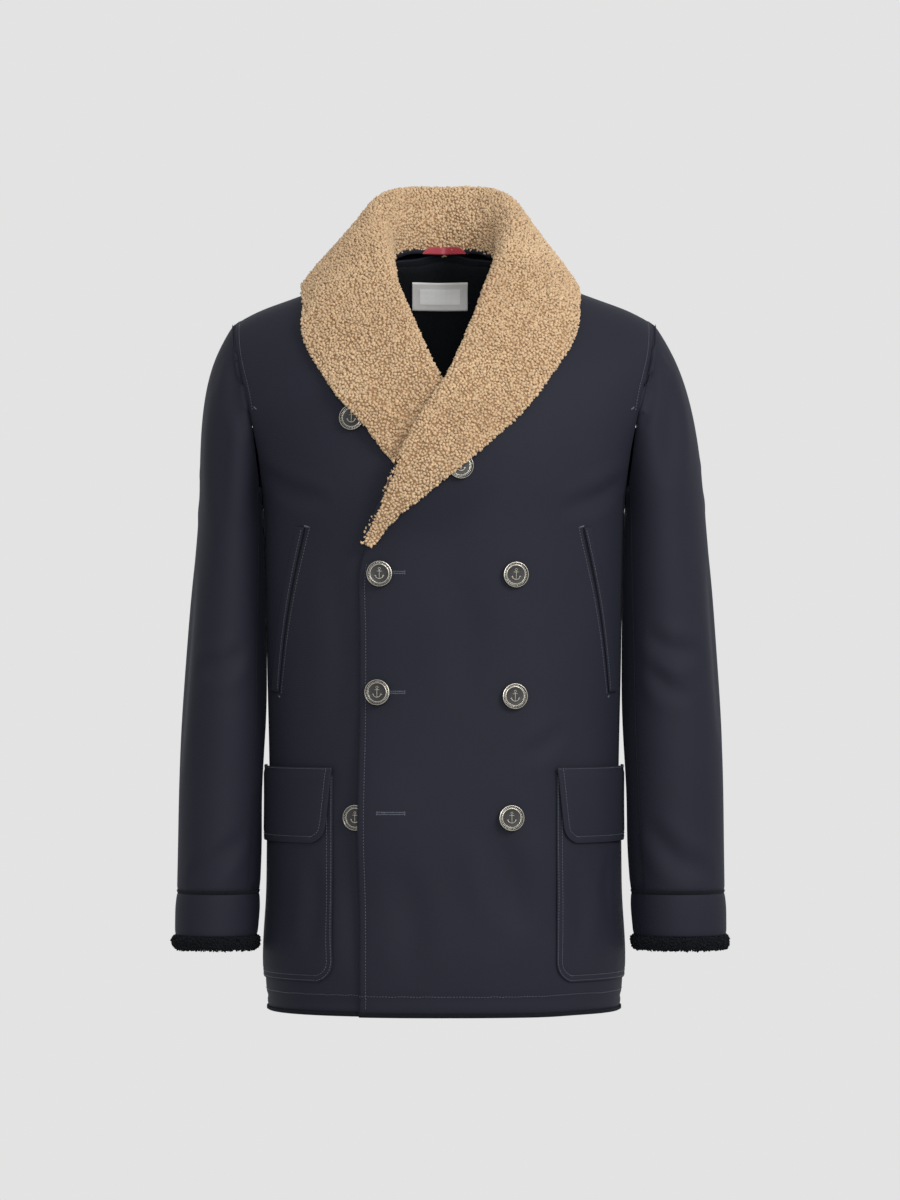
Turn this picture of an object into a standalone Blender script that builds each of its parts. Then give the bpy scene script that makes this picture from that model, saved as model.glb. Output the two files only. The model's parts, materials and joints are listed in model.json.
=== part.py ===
"""A man's double-breasted coat with a curly pile shawl collar, filled out as it is worn, in metres.

+Z is up, the coat faces -Y and the wearer's left is +X. The origin is the middle of the neck opening, level with
the back neck seam, where the neck and shoulders hold the coat. Every cloth piece is a wall of its own: the fronts,
the back, two-piece sleeves, cuff bands, the collar halves, patch pockets, flaps, pocket welts, the black pile that
shows at the neck and the cuffs, the hang loop, the label and eight shank buttons.
"""

import math

import bmesh
import bpy
import numpy as np
from mathutils import Matrix, Vector
from mathutils.bvhtree import BVHTree

# Driving sizes
CLOTH = 0.003  # shell cloth with the pile bonded behind it
SEAM_GAP = 0.0003  # between pieces that are sewn together
HEM_Z = -0.797
CHEST_Z = -0.262  # the level of the underarm
SIDE_SEAM_ANGLE = 98.0  # degrees round from the centre front
SIDE_GAP_ANGLE = 0.2
SIDE_ROWS = [-0.797, -0.789, -0.740, -0.685, -0.630, -0.575, -0.510, -0.445, -0.390, -0.335, -0.300, -0.262]
ARM_ROWS = 10  # rows of the panels beside the armhole
RIDGE_Y = 0.012  # the shoulder seam runs this far behind the middle of the neck
SQUARENESS = 2.4  # exponent of the body's rounded sections, where 2 is an ellipse
LEFT, RIGHT = 1, -1  # the wearer's sides, as signs of X

# The body's level rings below the underarm
BODY_RINGS = [
    {"z": -0.797, "half_width": 0.1845, "front": 0.148, "back": 0.141},
    {"z": -0.789, "half_width": 0.1865, "front": 0.150, "back": 0.143},
    {"z": -0.690, "half_width": 0.1860, "front": 0.150, "back": 0.145},
    {"z": -0.560, "half_width": 0.1845, "front": 0.148, "back": 0.142},
    {"z": -0.440, "half_width": 0.1870, "front": 0.146, "back": 0.136},
    {"z": -0.350, "half_width": 0.1885, "front": 0.148, "back": 0.139},
    {"z": -0.262, "half_width": 0.1915, "front": 0.150, "back": 0.144},
]
# Above the underarm the form widens into the shoulders; level 1 is the shoulder seam
SHOULDER_RINGS = [
    {"level": 0.18, "half_width": 0.2075},
    {"level": 0.35, "half_width": 0.2260},
    {"level": 0.57, "half_width": 0.2360},
    {"level": 1.00, "half_width": 0.2380},
]
SHOULDER_SEAM = [  # height of the seam at each distance from the middle
    {"x": 0.000, "z": 0.030},
    {"x": 0.072, "z": -0.014},
    {"x": 0.155, "z": -0.046},
    {"x": 0.200, "z": -0.063},
    {"x": 0.222, "z": -0.075},
    {"x": 0.240, "z": -0.088},
]
NECK_POINT_X = 0.072
SHOULDER_POINT = {"x": 0.222, "z": -0.075}
ARMHOLE = [  # as it shows from in front, from the underarm up
    {"x": 0.1925, "z": -0.250},
    {"x": 0.1950, "z": -0.225},
    {"x": 0.2005, "z": -0.190},
    {"x": 0.2070, "z": -0.157},
    {"x": 0.2160, "z": -0.121},
    {"x": 0.2205, "z": -0.098},
]
BACK_NECK_DIP = 0.27  # how far in levels the back neck seam drops below the shoulder seam


def through(stops, values):
    """A smooth curve through a table's values, as a function of the stops."""
    stops = np.asarray(stops, float)
    values = np.asarray(values, float).reshape(len(stops), -1)
    steps = np.diff(stops)[:, None]
    chords = np.diff(values, axis=0) / steps
    slopes = np.vstack([chords[:1], chords, chords[-1:]])
    slopes = (slopes[:-1] + slopes[1:]) / 2
    inner = (steps[1:] * chords[:-1] + steps[:-1] * chords[1:]) / (steps[1:] + steps[:-1])
    slopes[1:-1] = inner

    def at(stop):
        stop = np.clip(np.asarray(stop, float), stops[0], stops[-1])
        i = np.clip(np.searchsorted(stops, stop, side="right") - 1, 0, len(stops) - 2)
        step = steps[i, 0]
        u = ((stop - stops[i]) / step)[..., None]
        step = step[..., None]
        curve = (
            values[i] * (1 + 2 * u) * (1 - u) ** 2
            + values[i + 1] * u**2 * (3 - 2 * u)
            + slopes[i] * step * u * (1 - u) ** 2
            - slopes[i + 1] * step * u**2 * (1 - u)
        )
        return curve[..., 0] if curve.shape[-1] == 1 else curve

    return at


def column(rows, name):
    return [row[name] for row in rows]


def eased(share):
    """0 up to share 0, 1 from share 1, with a soft start and end."""
    share = np.clip(share, 0.0, 1.0)
    return share * share * (3 - 2 * share)


def unit(vectors):
    vectors = np.asarray(vectors, float)
    return vectors / np.maximum(np.linalg.norm(vectors, axis=-1, keepdims=True), 1e-12)


# The body form
ring_levels = [(row["z"] - CHEST_Z) / (CHEST_Z - HEM_Z) for row in BODY_RINGS]
ring_half_width = through(
    ring_levels + column(SHOULDER_RINGS, "level"),
    column(BODY_RINGS, "half_width") + column(SHOULDER_RINGS, "half_width"),
)
ring_front = through(ring_levels, column(BODY_RINGS, "front"))
ring_back = through(ring_levels, column(BODY_RINGS, "back"))
seam_height = through(column(SHOULDER_SEAM, "x"), column(SHOULDER_SEAM, "z"))


def body_point(angle, level):
    """The outer face of the body. Angle is in degrees from the centre front, positive to the wearer's left;
    level runs from -1 at the hem through 0 at the underarm to 1 on the shoulder seam."""
    angle = np.asarray(angle, float)
    level = np.asarray(level, float)
    turn = np.radians(np.abs(angle))
    across = np.abs(np.sin(turn)) ** (2 / SQUARENESS)
    forward = np.sign(np.cos(turn)) * np.abs(np.cos(turn)) ** (2 / SQUARENESS)
    past_back = np.where(np.abs(angle) > 180, -1.0, 1.0)
    half_width = ring_half_width(level) * across
    depth = np.where(forward >= 0, ring_front(level), ring_back(level))
    climb = np.clip(level, 0, 1) * math.pi / 2
    top = seam_height(half_width)
    z = np.where(
        level < 0,
        CHEST_Z + level * (CHEST_Z - HEM_Z),
        CHEST_Z + (top - CHEST_Z) * np.sin(climb),
    )
    y = RIDGE_Y * (1 - np.cos(climb)) - forward * depth * np.cos(climb)
    x = np.where(angle < 0, -1.0, 1.0) * past_back * half_width
    return np.stack(np.broadcast_arrays(x, y, z), axis=-1)


def body_normal(angle, level):
    step = 0.02
    flank = body_point(angle + step * 50, level) - body_point(angle - step * 50, level)
    upper = np.minimum(np.asarray(level, float) + step, 1.0)
    lower = np.asarray(level, float) - step
    rise = body_point(angle, upper) - body_point(angle, lower)
    return unit(np.cross(flank, rise))


def place_of(x, z, back=False):
    """Angle and level of the point of the body that shows at x and z from in front, or from behind."""
    if z <= CHEST_Z:
        level = (z - CHEST_Z) / (CHEST_Z - HEM_Z)
    else:
        share = (z - CHEST_Z) / (float(seam_height(abs(x))) - CHEST_Z)
        level = math.asin(min(share, 1.0)) * 2 / math.pi
    across = min(abs(x) / float(ring_half_width(level)), 1.0)
    angle = math.degrees(math.asin(across ** (SQUARENESS / 2)))
    return math.copysign(180 - angle if back else angle, x), level


def edge_through(places):
    """Angle and level along an edge, as a function of its share of the edge's length."""
    places = np.asarray(places, float)
    points = body_point(places[:, 0], places[:, 1])
    run = np.concatenate([[0], np.cumsum(np.linalg.norm(np.diff(points, axis=0), axis=1))])
    return through(run / run[-1], places)


def armhole_edge(back=False):
    """From the underarm up to the shoulder point, on the wearer's left."""
    places = [(SIDE_SEAM_ANGLE, 0.0)]
    places += [place_of(row["x"], row["z"], back) for row in ARMHOLE]
    tip_angle = place_of(SHOULDER_POINT["x"], SHOULDER_POINT["z"], back)[0]
    return edge_through(places + [(tip_angle, 1.0)])


# Solids
def material(name, colour, roughness, metallic=0.0):
    """colour is sRGB, from 0 to 255."""
    made = bpy.data.materials.new(name)
    made.use_nodes = True
    shader = made.node_tree.nodes["Principled BSDF"]
    linear = [((c / 255 + 0.055) / 1.055) ** 2.4 for c in colour]
    shader.inputs["Base Color"].default_value = (*linear, 1.0)
    shader.inputs["Roughness"].default_value = roughness
    shader.inputs["Metallic"].default_value = metallic
    made.diffuse_color = (*linear, 1.0)
    return made


def add_object(name, mesh, finish):
    made = bpy.data.objects.new(name, mesh)
    bpy.context.scene.collection.objects.link(made)
    if not mesh.materials:
        mesh.materials.append(finish)
    return made


def mesh_of(name, points, faces):
    """A closed mesh with its faces pointing out."""
    mesh = bpy.data.meshes.new(name)
    mesh.from_pydata([tuple(point) for point in points], [], faces)
    work = bmesh.new()
    work.from_mesh(mesh)
    bmesh.ops.recalc_face_normals(work, faces=work.faces)
    work.to_mesh(mesh)
    work.free()
    mesh.shade_smooth()
    mesh.set_sharp_from_angle(angle=math.radians(50))
    return mesh


def grid_faces(rows, columns, ring, first=0):
    """Quads of a grid of rows by columns, numbered from first. A ring joins its last column to its first."""
    faces = []
    for i in range(rows - 1):
        for j in range(columns if ring else columns - 1):
            k = (j + 1) % columns
            faces.append(
                (first + i * columns + j, first + i * columns + k, first + (i + 1) * columns + k, first + (i + 1) * columns + j)
            )
    return faces


def wall(name, outer, inner, finish, ring=False):
    """The solid between two grids of the same size. A ring is closed along its columns."""
    rows, columns = outer.shape[:2]
    count = rows * columns
    points = np.concatenate([outer.reshape(-1, 3), inner.reshape(-1, 3)])
    faces = grid_faces(rows, columns, ring) + grid_faces(rows, columns, ring, count)
    border = []
    across = columns if ring else columns - 1
    for i in (0, rows - 1):
        border += [(i * columns + j, i * columns + (j + 1) % columns) for j in range(across)]
    if not ring:
        for j in (0, columns - 1):
            border += [(i * columns + j, (i + 1) * columns + j) for i in range(rows - 1)]
    faces += [(a, b, b + count, a + count) for a, b in border]
    return add_object(name, mesh_of(name, points, faces), finish)


def grid_normals(grid, ring, hints):
    """Unit normals of a grid, on the side that the hints point to."""
    rise = np.gradient(grid, axis=0)
    if ring:
        flank = np.roll(grid, -1, axis=1) - np.roll(grid, 1, axis=1)
    else:
        flank = np.gradient(grid, axis=1)
    normals = unit(np.cross(rise, flank))
    side = np.sign(np.sum(normals * hints))
    return normals * side


def mirrored(grid, side):
    return grid * np.array([side, 1.0, 1.0])


# Fronts
FRONT_EDGE_X = -0.0865  # past the middle, on the other side
BREAK_Z = -0.335  # where the lapel starts to turn back
FRONT_COLUMNS = [  # degrees from the centre front at pocket height, towards the panel's own side
    -23.8, -17.0, -10.3, -3.5, 3.3, 10.0, 16.5, 22.7, 28.7, 34.5, 40.0, 45.4,
    51.5, 58.0, 64.5, 71.3, 78.5, 85.5, 92.0, 98.0,
]
FRONT_SHARES = (np.array(FRONT_COLUMNS) - FRONT_COLUMNS[0]) / (FRONT_COLUMNS[-1] - FRONT_COLUMNS[0])
FRONT_OPENING = [  # the panel's own edge, under the fold of the collar; x is towards the panel's own side
    {"x": -0.0845, "z": -0.335},
    {"x": -0.0795, "z": -0.313},
    {"x": -0.0695, "z": -0.290},
    {"x": -0.0480, "z": -0.244},
    {"x": -0.0300, "z": -0.205},
    {"x": -0.0090, "z": -0.172},
    {"x": 0.0130, "z": -0.145},
    {"x": 0.0335, "z": -0.106},
    {"x": 0.0480, "z": -0.074},
    {"x": 0.0610, "z": -0.040},
]
LAP = CLOTH + 0.0015  # how far the top front stands off the under front
LAP_ENDS_X = 0.094  # the top front comes down to the form past the under front's edge
LAP_FADE = 0.055
LIFTS = [  # where the top front rides over something; x is towards the wearer's left
    {"over": "the other lapel", "x": -0.028, "z": -0.200, "flat": 0.048, "reach": 0.110, "height": 0.0112},
    {"over": "the unfastened button", "x": -0.090, "z": -0.593, "flat": 0.030, "reach": 0.100, "height": 0.0062},
]


def lap_height(side, angle, level, points):
    """How far a front stands off the body form. Only the wearer's left front does."""
    if side == RIGHT:
        return np.zeros(points.shape[:-1])
    x, z = points[..., 0], points[..., 2]
    height = LAP * (1 - eased((x - LAP_ENDS_X) / LAP_FADE)) * (1 - eased((level - 0.35) / 0.35))
    for lift in LIFTS:
        distance = np.hypot(x - lift["x"], z - lift["z"])
        height = height + lift["height"] * (1 - eased((distance - lift["flat"]) / (lift["reach"] - lift["flat"])))
    return height


def front_skin(side, angle, level):
    """Outer face of a front and its normal; the angle is towards the panel's own side."""
    points = mirrored(body_point(angle, level), side)
    normals = mirrored(body_normal(angle, level), side)
    height = lap_height(side, angle, level, points)
    return points + normals * height[..., None], normals


def level_of(z):
    """For heights below the underarm."""
    return (z - CHEST_Z) / (CHEST_Z - HEM_Z)


def side_edge(back=False):
    """Angle and level down the side seam and round the armhole, rows from the hem up."""
    angle = SIDE_SEAM_ANGLE + SIDE_GAP_ANGLE if back else SIDE_SEAM_ANGLE
    arm = armhole_edge(back)
    return np.array([(angle, level_of(z)) for z in SIDE_ROWS] + [arm(k / ARM_ROWS) for k in range(1, ARM_ROWS + 1)])


def front_column_angle(column, level):
    """The angle of one of a front's columns, below the break."""
    start = place_of(FRONT_EDGE_X, CHEST_Z + level * (CHEST_Z - HEM_Z))[0]
    return start + (SIDE_SEAM_ANGLE - start) * FRONT_SHARES[column]


def front_places():
    """Angle and level of each point of a front, rows from the hem to the shoulder seam."""
    outer_edge = side_edge()
    low = [z for z in SIDE_ROWS if z <= BREAK_Z + 1e-6]
    inner_edge = [(front_column_angle(0, level_of(z)), level_of(z)) for z in low]
    opening = [place_of(row["x"], row["z"]) for row in FRONT_OPENING]
    opening.append((place_of(NECK_POINT_X, 0.0)[0], 1.0))
    inner = edge_through(opening)
    above = len(outer_edge) - len(low)
    inner_edge = np.array(inner_edge + [inner(k / above) for k in range(1, above + 1)])
    across = FRONT_SHARES[None, :, None]
    return inner_edge[:, None] * (1 - across) + outer_edge[:, None] * across


def seam_normals(normals):
    """Along the shoulder seam the pieces meet face to face."""
    normals = normals.copy()
    normals[-1, :, 1] = 0
    return unit(normals)


def front_panel(side, name, finish):
    places = front_places()
    outer, normals = front_skin(side, places[..., 0], places[..., 1])
    normals = seam_normals(normals)
    wall(name, outer, outer - normals * CLOTH, finish)
    return outer


# Back
BACK_COLUMNS = [180.0, 175.5, 171.0, 166.2, 158.0, 149.0, 139.0, 129.0, 118.5, 108.0, 98.2]  # degrees, one half
BACK_NECK_POWER = 1.3


def back_panel(name, finish):
    """Rows from the hem up; the top row is the shoulder seams with the neck seam between them."""
    edge = side_edge(back=True)
    shares = (180 - np.array(BACK_COLUMNS)) / (180 - BACK_COLUMNS[-1])
    across = np.concatenate([-shares[:0:-1], shares])
    angles = 180 - (180 - edge[:, :1]) * np.abs(across)
    levels = np.repeat(edge[:, 1:], len(across), axis=1)
    neck_angle = place_of(NECK_POINT_X, 0.0, back=True)[0]
    from_neck = np.clip((angles - neck_angle) / (180 - neck_angle), 0, 1)
    drop = BACK_NECK_DIP * (1 - (1 - from_neck) ** BACK_NECK_POWER)
    levels = levels - drop * np.linspace(0, 1, len(edge))[:, None] ** 3
    turned = np.where(across < 0, -1.0, 1.0)[:, None] * [1.0, 0.0, 0.0] + [0.0, 1.0, 1.0]
    outer = body_point(angles, levels) * turned
    normals = body_normal(np.minimum(angles, 179), levels) * turned
    normals[:, len(across) // 2, 0] = 0
    normals = unit(normals)
    beside_neck = from_neck[-1] <= 0
    normals[-1, beside_neck, 1] = 0
    normals = unit(normals)
    outer = outer + np.array([0.0, SEAM_GAP, 0.0])
    wall(name, outer, outer - normals * CLOTH, finish)
    return outer, normals


# Sleeves
SLEEVE_COLUMNS = 24
SLEEVE_HEAD_ROWS = 6
SLEEVE_SEAT = 0.0010  # the sleeve starts this far outside the armhole edge
PRESS_SOFTNESS = 0.0015  # where the sleeve lies against the body
SLEEVE_RINGS = [  # inner and outer are distances from the middle of the body
    {"z": -0.300, "inner": 0.1840, "outer": 0.2690, "front": -0.066, "back": 0.086, "clear": 0.0016},
    {"z": -0.360, "inner": 0.1840, "outer": 0.2740, "front": -0.068, "back": 0.080, "clear": 0.0016},
    {"z": -0.430, "inner": 0.1850, "outer": 0.2790, "front": -0.070, "back": 0.071, "clear": 0.0016},
    {"z": -0.500, "inner": 0.1850, "outer": 0.2835, "front": -0.074, "back": 0.059, "clear": 0.0024},
    {"z": -0.540, "inner": 0.1865, "outer": 0.2850, "front": -0.077, "back": 0.051, "clear": 0.0078},
    {"z": -0.620, "inner": 0.1905, "outer": 0.2860, "front": -0.081, "back": 0.037, "clear": 0.0078},
    {"z": -0.722, "inner": 0.1985, "outer": 0.2870, "front": -0.085, "back": 0.014, "clear": 0.0055},
]
SWING = {
    LEFT: {"inner": 0.0020, "outer_top": 0.0095, "outer": 0.0090},
    RIGHT: {"inner": -0.0010, "outer_top": -0.0075, "outer": -0.0050},
}
CUFF_SEAM_Z = -0.675
CUFF_END_Z = -0.720
FORE_SEAM, HIND_SEAM = 0.115, 0.790  # shares of the way round, from the inside of the arm past the front
sleeve_clear = through([-row["z"] for row in SLEEVE_RINGS], column(SLEEVE_RINGS, "clear"))
sleeve_ring = through(
    [-row["z"] for row in SLEEVE_RINGS], [[row[k] for k in ("inner", "outer", "front", "back")] for row in SLEEVE_RINGS]
)


def sleeve_ring_points(side, z, shares, proud=0.0):
    """Points round the sleeve at one height, from the inside of the arm past the front."""
    inner, outer, front, back = sleeve_ring(-z)
    drop = (SLEEVE_RINGS[0]["z"] - z) / (SLEEVE_RINGS[0]["z"] - SLEEVE_RINGS[-1]["z"])
    inner = inner + SWING[side]["inner"] * drop
    outer = outer + SWING[side]["outer_top"] * (1 - drop) + SWING[side]["outer"] * drop
    turn = 2 * math.pi * shares
    x = (inner + outer) / 2 - ((outer - inner) / 2 + proud) * np.cos(turn)
    y = (front + back) / 2 - ((back - front) / 2 + proud) * np.sin(turn)
    level = level_of(z)
    depth = np.where(y < 0, ring_front(level), ring_back(level))
    body = ring_half_width(level) * (1 - np.abs(y / depth) ** SQUARENESS) ** (1 / SQUARENESS)
    rest = body + sleeve_clear(-z) + (CLOTH - proud if proud < 0 else 0)
    x = (x + rest + np.sqrt((x - rest) ** 2 + PRESS_SOFTNESS**2)) / 2
    return np.stack([side * x, y, np.full_like(x, z)], axis=-1)


def sleeve_grid(side, shares, low_z):
    """The outer face of a sleeve over some shares of the way round, from the armhole down."""
    shares = np.asarray(shares) % 1.0
    front_arm, back_arm = armhole_edge(), armhole_edge(back=True)
    half = np.where(shares < 0.5, 2 * shares, 2 * (1 - shares))
    places = np.where((shares < 0.5)[:, None], front_arm(half), back_arm(half))
    start = mirrored(body_point(places[:, 0], places[:, 1]), side)
    bicep = sleeve_ring_points(side, SLEEVE_RINGS[0]["z"], shares)
    over = np.sin(math.pi * shares) ** 2  # 0 under the arm, 1 on the shoulder
    fore = np.sin(2 * math.pi * shares)  # 1 at the front, -1 at the back
    away = unit(np.stack([side * (0.04 + 0.62 * over), -0.22 * fore, -(1 - 0.12 * over)], axis=-1))
    aside = places[:, 0] + np.where(shares < 0.5, 0.5, -0.5)
    seat = unit(mirrored(body_point(aside, places[:, 1]), side) - start) * np.clip(over * 3, 0, 1)[:, None]
    start = start + seat * SLEEVE_SEAT + away * 0.0003 + np.array([side * 0.0014, 0, 0]) * (1 - over)[:, None]
    length = np.linalg.norm(bicep - start, axis=1)[:, None]
    below = sleeve_ring_points(side, SLEEVE_RINGS[0]["z"] - 0.01, shares)
    end_way = unit(below - bicep)
    rows = []
    for u in np.linspace(0, 1, SLEEVE_HEAD_ROWS, endpoint=False):
        rows.append(
            start * (1 + 2 * u) * (1 - u) ** 2
            + bicep * u**2 * (3 - 2 * u)
            + away * length * u * (1 - u) ** 2
            - end_way * length * u**2 * (1 - u)
        )
    heights = np.linspace(SLEEVE_RINGS[0]["z"], low_z, 8)
    rows += [sleeve_ring_points(side, z, shares) for z in heights]
    return np.stack(rows)


def sleeve_normals(side, grid, shares):
    """Normals of a sleeve; at the armhole they turn to the panels' own, so the edges meet face to face."""
    flank = sleeve_grid(side, shares + 0.012, CUFF_SEAM_Z) - sleeve_grid(side, shares - 0.012, CUFF_SEAM_Z)
    normals = unit(np.cross(np.gradient(grid, axis=0), flank))
    middle = np.stack([np.full(len(grid), side * 0.235), np.full(len(grid), 0.005), grid[:, :, 2].mean(axis=1)], 1)
    normals *= np.sign(np.sum(normals * (grid - middle[:, None])))
    wrapped = shares % 1.0
    half = np.where(wrapped < 0.5, 2 * wrapped, 2 * (1 - wrapped))
    places = np.where((wrapped < 0.5)[:, None], armhole_edge()(half), armhole_edge(back=True)(half))
    seam = mirrored(body_normal(np.clip(places[:, 0], 1, 179), places[:, 1]), side)
    over = eased((np.sin(math.pi * wrapped) ** 2 - 0.15) / 0.6)[:, None]
    under = eased(1 - np.sin(math.pi * wrapped) ** 2 / 0.15)[:, None]
    for row, share in ((0, 1.0), (1, 0.4)):
        normals[row] = unit(normals[row] * (1 - over * share) + seam * over * share)
        normals[row] = unit(normals[row] * (1 - under) + np.array([-side, 0, 0]) * under)
    return normals


def sleeve_pieces(side, word, finish):
    gap = SEAM_GAP / 2 / 0.36  # as a share of the way round, half on each side of a seam
    upper_count = round(SLEEVE_COLUMNS * (HIND_SEAM - FORE_SEAM)) + 1
    under_count = SLEEVE_COLUMNS - upper_count + 2
    spans = {
        "upper": np.linspace(FORE_SEAM + gap, HIND_SEAM - gap, upper_count),
        "under": np.linspace(HIND_SEAM + gap, 1 + FORE_SEAM - gap, under_count),
    }
    for piece, shares in spans.items():
        outer = sleeve_grid(side, shares, CUFF_SEAM_Z + SEAM_GAP)
        normals = sleeve_normals(side, outer, shares)
        wall(f"sleeve_{word}_{piece}", outer, outer - normals * CLOTH, finish)


def cuff_band(side, word, finish):
    """The turned and stitched band at the wrist, a little proud of the sleeve."""
    shares = np.arange(SLEEVE_COLUMNS) / SLEEVE_COLUMNS
    heights = [CUFF_SEAM_Z, CUFF_SEAM_Z - 0.004, -0.700, CUFF_END_Z]
    proud = [0.0002, 0.0012, 0.0014, 0.0012]
    outer = np.stack([sleeve_ring_points(side, z, shares, p) for z, p in zip(heights, proud)])
    inner = np.stack([sleeve_ring_points(side, z, shares, p - CLOTH) for z, p in zip(heights, proud)])
    wall(f"cuff_{word}", outer, inner, finish, ring=True)


CUFF_PILE_PROFILE = [  # round the section; proud is measured from the sleeve's outer face
    {"proud": -0.0023, "z": -0.694},
    {"proud": -0.0023, "z": -0.7204},
    {"proud": 0.0030, "z": -0.7204},
    {"proud": 0.0042, "z": -0.7265},
    {"proud": 0.0020, "z": -0.7330},
    {"proud": -0.0050, "z": -0.7340},
    {"proud": -0.0095, "z": -0.7270},
    {"proud": -0.0095, "z": -0.694},
]


def cuff_pile(side, word, finish):
    """The black pile that lines the sleeve and rolls out under the cuff."""
    shares = np.arange(SLEEVE_COLUMNS) / SLEEVE_COLUMNS
    rings = [sleeve_ring_points(side, row["z"], shares, row["proud"]) for row in CUFF_PILE_PROFILE]
    rings = np.stack(rings)
    faces = grid_faces(len(rings), SLEEVE_COLUMNS, ring=True)
    last = (len(rings) - 1) * SLEEVE_COLUMNS
    faces += [
        (j, (j + 1) % SLEEVE_COLUMNS, last + (j + 1) % SLEEVE_COLUMNS, last + j) for j in range(SLEEVE_COLUMNS)
    ]
    add_object(f"cuff_pile_{word}", mesh_of(f"cuff_pile_{word}", rings.reshape(-1, 3), faces), finish)


# Collar
COLLAR_PILE = 0.0058  # hide and curly pile together
COLLAR_STATIONS = 31
STAND_STEPS, FALL_STEPS = 5, 8
COLLAR_CLEAR = 0.0016  # between the hide side of the collar and the coat, at the fold
EDGE_CLEAR = 0.0026  # and at its outer edge, which stands off the cloth
PILE_SHAPE = [0.55, 0.9, 1.0, 1.0, 1.0, 1.0, 1.0, 1.0, 1.0, 1.0, 1.0, 1.0, 1.0, 0.72]  # thickness across the collar
NECK_STATIONS = [  # points of the hide side: the neck seam, the top of the fold and the outer edge; x to the own side
    {"stand": (0.0000, 0.0625, 0.0030), "fold": (0.0000, 0.0860, 0.0690), "edge": (0.0000, 0.1085, -0.0500)},
    {"stand": (0.0365, 0.0440, 0.0040), "fold": (0.0430, 0.0780, 0.0680), "edge": (0.0800, 0.1000, -0.0580)},
    {"stand": (0.0585, 0.0240, -0.0050), "fold": (0.0665, 0.0460, 0.0570), "edge": (0.1280, 0.0600, -0.0560)},
    {"stand": (0.0660, 0.0020, -0.0140), "fold": (0.0720, 0.0120, 0.0360), "edge": (0.1460, 0.0130, -0.0350)},
    {"stand": (0.0630, -0.0330, -0.0310), "fold": (0.0690, -0.0250, 0.0080), "edge": (0.1455, -0.0500, -0.0620)},
]
EDGE_SHIFT = {LEFT: (0, 0, -0.006, -0.010, -0.006), RIGHT: (0, 0, 0, 0, 0)}  # the collar lies a little off centre
LAPELS = {  # where the fold and the edge of the pile show; hook is how far the pile turns in under the fold
    LEFT: [
        {"fold_x": 0.0435, "fold_z": -0.036, "edge_x": 0.1330, "edge_z": -0.097, "hook": 1.0, "pile": 1.0},
        {"fold_x": 0.0300, "fold_z": -0.074, "edge_x": 0.1140, "edge_z": -0.128, "hook": 1.0, "pile": 1.0},
        {"fold_x": 0.0165, "fold_z": -0.106, "edge_x": 0.0950, "edge_z": -0.155, "hook": 0.9, "pile": 1.0},
        {"fold_x": -0.001, "fold_z": -0.145, "edge_x": 0.0660, "edge_z": -0.187, "hook": 0.5, "pile": 1.0},
        {"fold_x": -0.0185, "fold_z": -0.172, "edge_x": 0.0360, "edge_z": -0.213, "hook": 0.3, "pile": 1.0},
        {"fold_x": -0.0370, "fold_z": -0.205, "edge_x": 0.0040, "edge_z": -0.240, "hook": 0.1, "pile": 1.0},
        {"fold_x": -0.0530, "fold_z": -0.244, "edge_x": -0.0260, "edge_z": -0.264, "hook": 0.0, "pile": 1.0},
        {"fold_x": -0.0660, "fold_z": -0.274, "edge_x": -0.0490, "edge_z": -0.283, "hook": 0.0, "pile": 0.85},
        {"fold_x": -0.0745, "fold_z": -0.292, "edge_x": -0.0625, "edge_z": -0.299, "hook": 0.0, "pile": 0.65},
        {"fold_x": -0.0815, "fold_z": -0.307, "edge_x": -0.0725, "edge_z": -0.312, "hook": 0.0, "pile": 0.5},
    ],
    RIGHT: [
        {"fold_x": 0.0480, "fold_z": -0.036, "edge_x": 0.1440, "edge_z": -0.097, "hook": 1.0, "pile": 1.0},
        {"fold_x": 0.0340, "fold_z": -0.070, "edge_x": 0.1270, "edge_z": -0.129, "hook": 1.0, "pile": 1.0},
        {"fold_x": 0.0210, "fold_z": -0.100, "edge_x": 0.1080, "edge_z": -0.157, "hook": 1.0, "pile": 1.0},
        {"fold_x": 0.0060, "fold_z": -0.131, "edge_x": 0.0780, "edge_z": -0.190, "hook": 0.8, "pile": 0.95},
        {"fold_x": -0.0040, "fold_z": -0.149, "edge_x": 0.0560, "edge_z": -0.219, "hook": 0.4, "pile": 0.85},
        {"fold_x": -0.0100, "fold_z": -0.162, "edge_x": 0.0360, "edge_z": -0.237, "hook": 0.2, "pile": 0.7},
    ],
}


def collar_stations(side):
    """Hide points stand, fold and edge, the ways up and out, and the pile share, from the centre back forward."""
    stations = []
    for row, shift in zip(NECK_STATIONS, EDGE_SHIFT[side]):
        stand, fold, edge = (np.array(row[k]) for k in ("stand", "fold", "edge"))
        stand, fold, edge = (point * [side, 1, 1] for point in (stand, fold, edge + [shift, 0, 0]))
        up = unit(fold - (stand * 0.5 + edge * 0.5))
        out = edge - stand
        stations.append([stand, fold, edge, up, unit(out - up * np.dot(out, up)), (1.0, 0.04, 2.0)])
    for row in LAPELS[side]:
        fold_place = [np.array(v) for v in place_of(row["fold_x"], row["fold_z"])]
        edge_place = [np.array(v) for v in place_of(row["edge_x"], row["edge_z"])]
        shown, out = front_skin(side, *fold_place)
        edge, edge_out = front_skin(side, *edge_place)
        edge = edge + edge_out * EDGE_CLEAR
        back = unit(edge - shown)
        pile = COLLAR_PILE * row["pile"]
        hook = row["hook"]
        rise = COLLAR_CLEAR + 0.0020 - 0.0036 * hook
        fold = shown + back * min(pile, 0.4 * np.linalg.norm(edge - shown)) + out * rise
        stand = fold + back * 0.0030 * hook - out * (0.0010 + 0.0022 * hook)
        stations.append([stand, fold, edge, -back, out, (row["pile"], 0.07, hook)])
    return np.array(stations)


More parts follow.
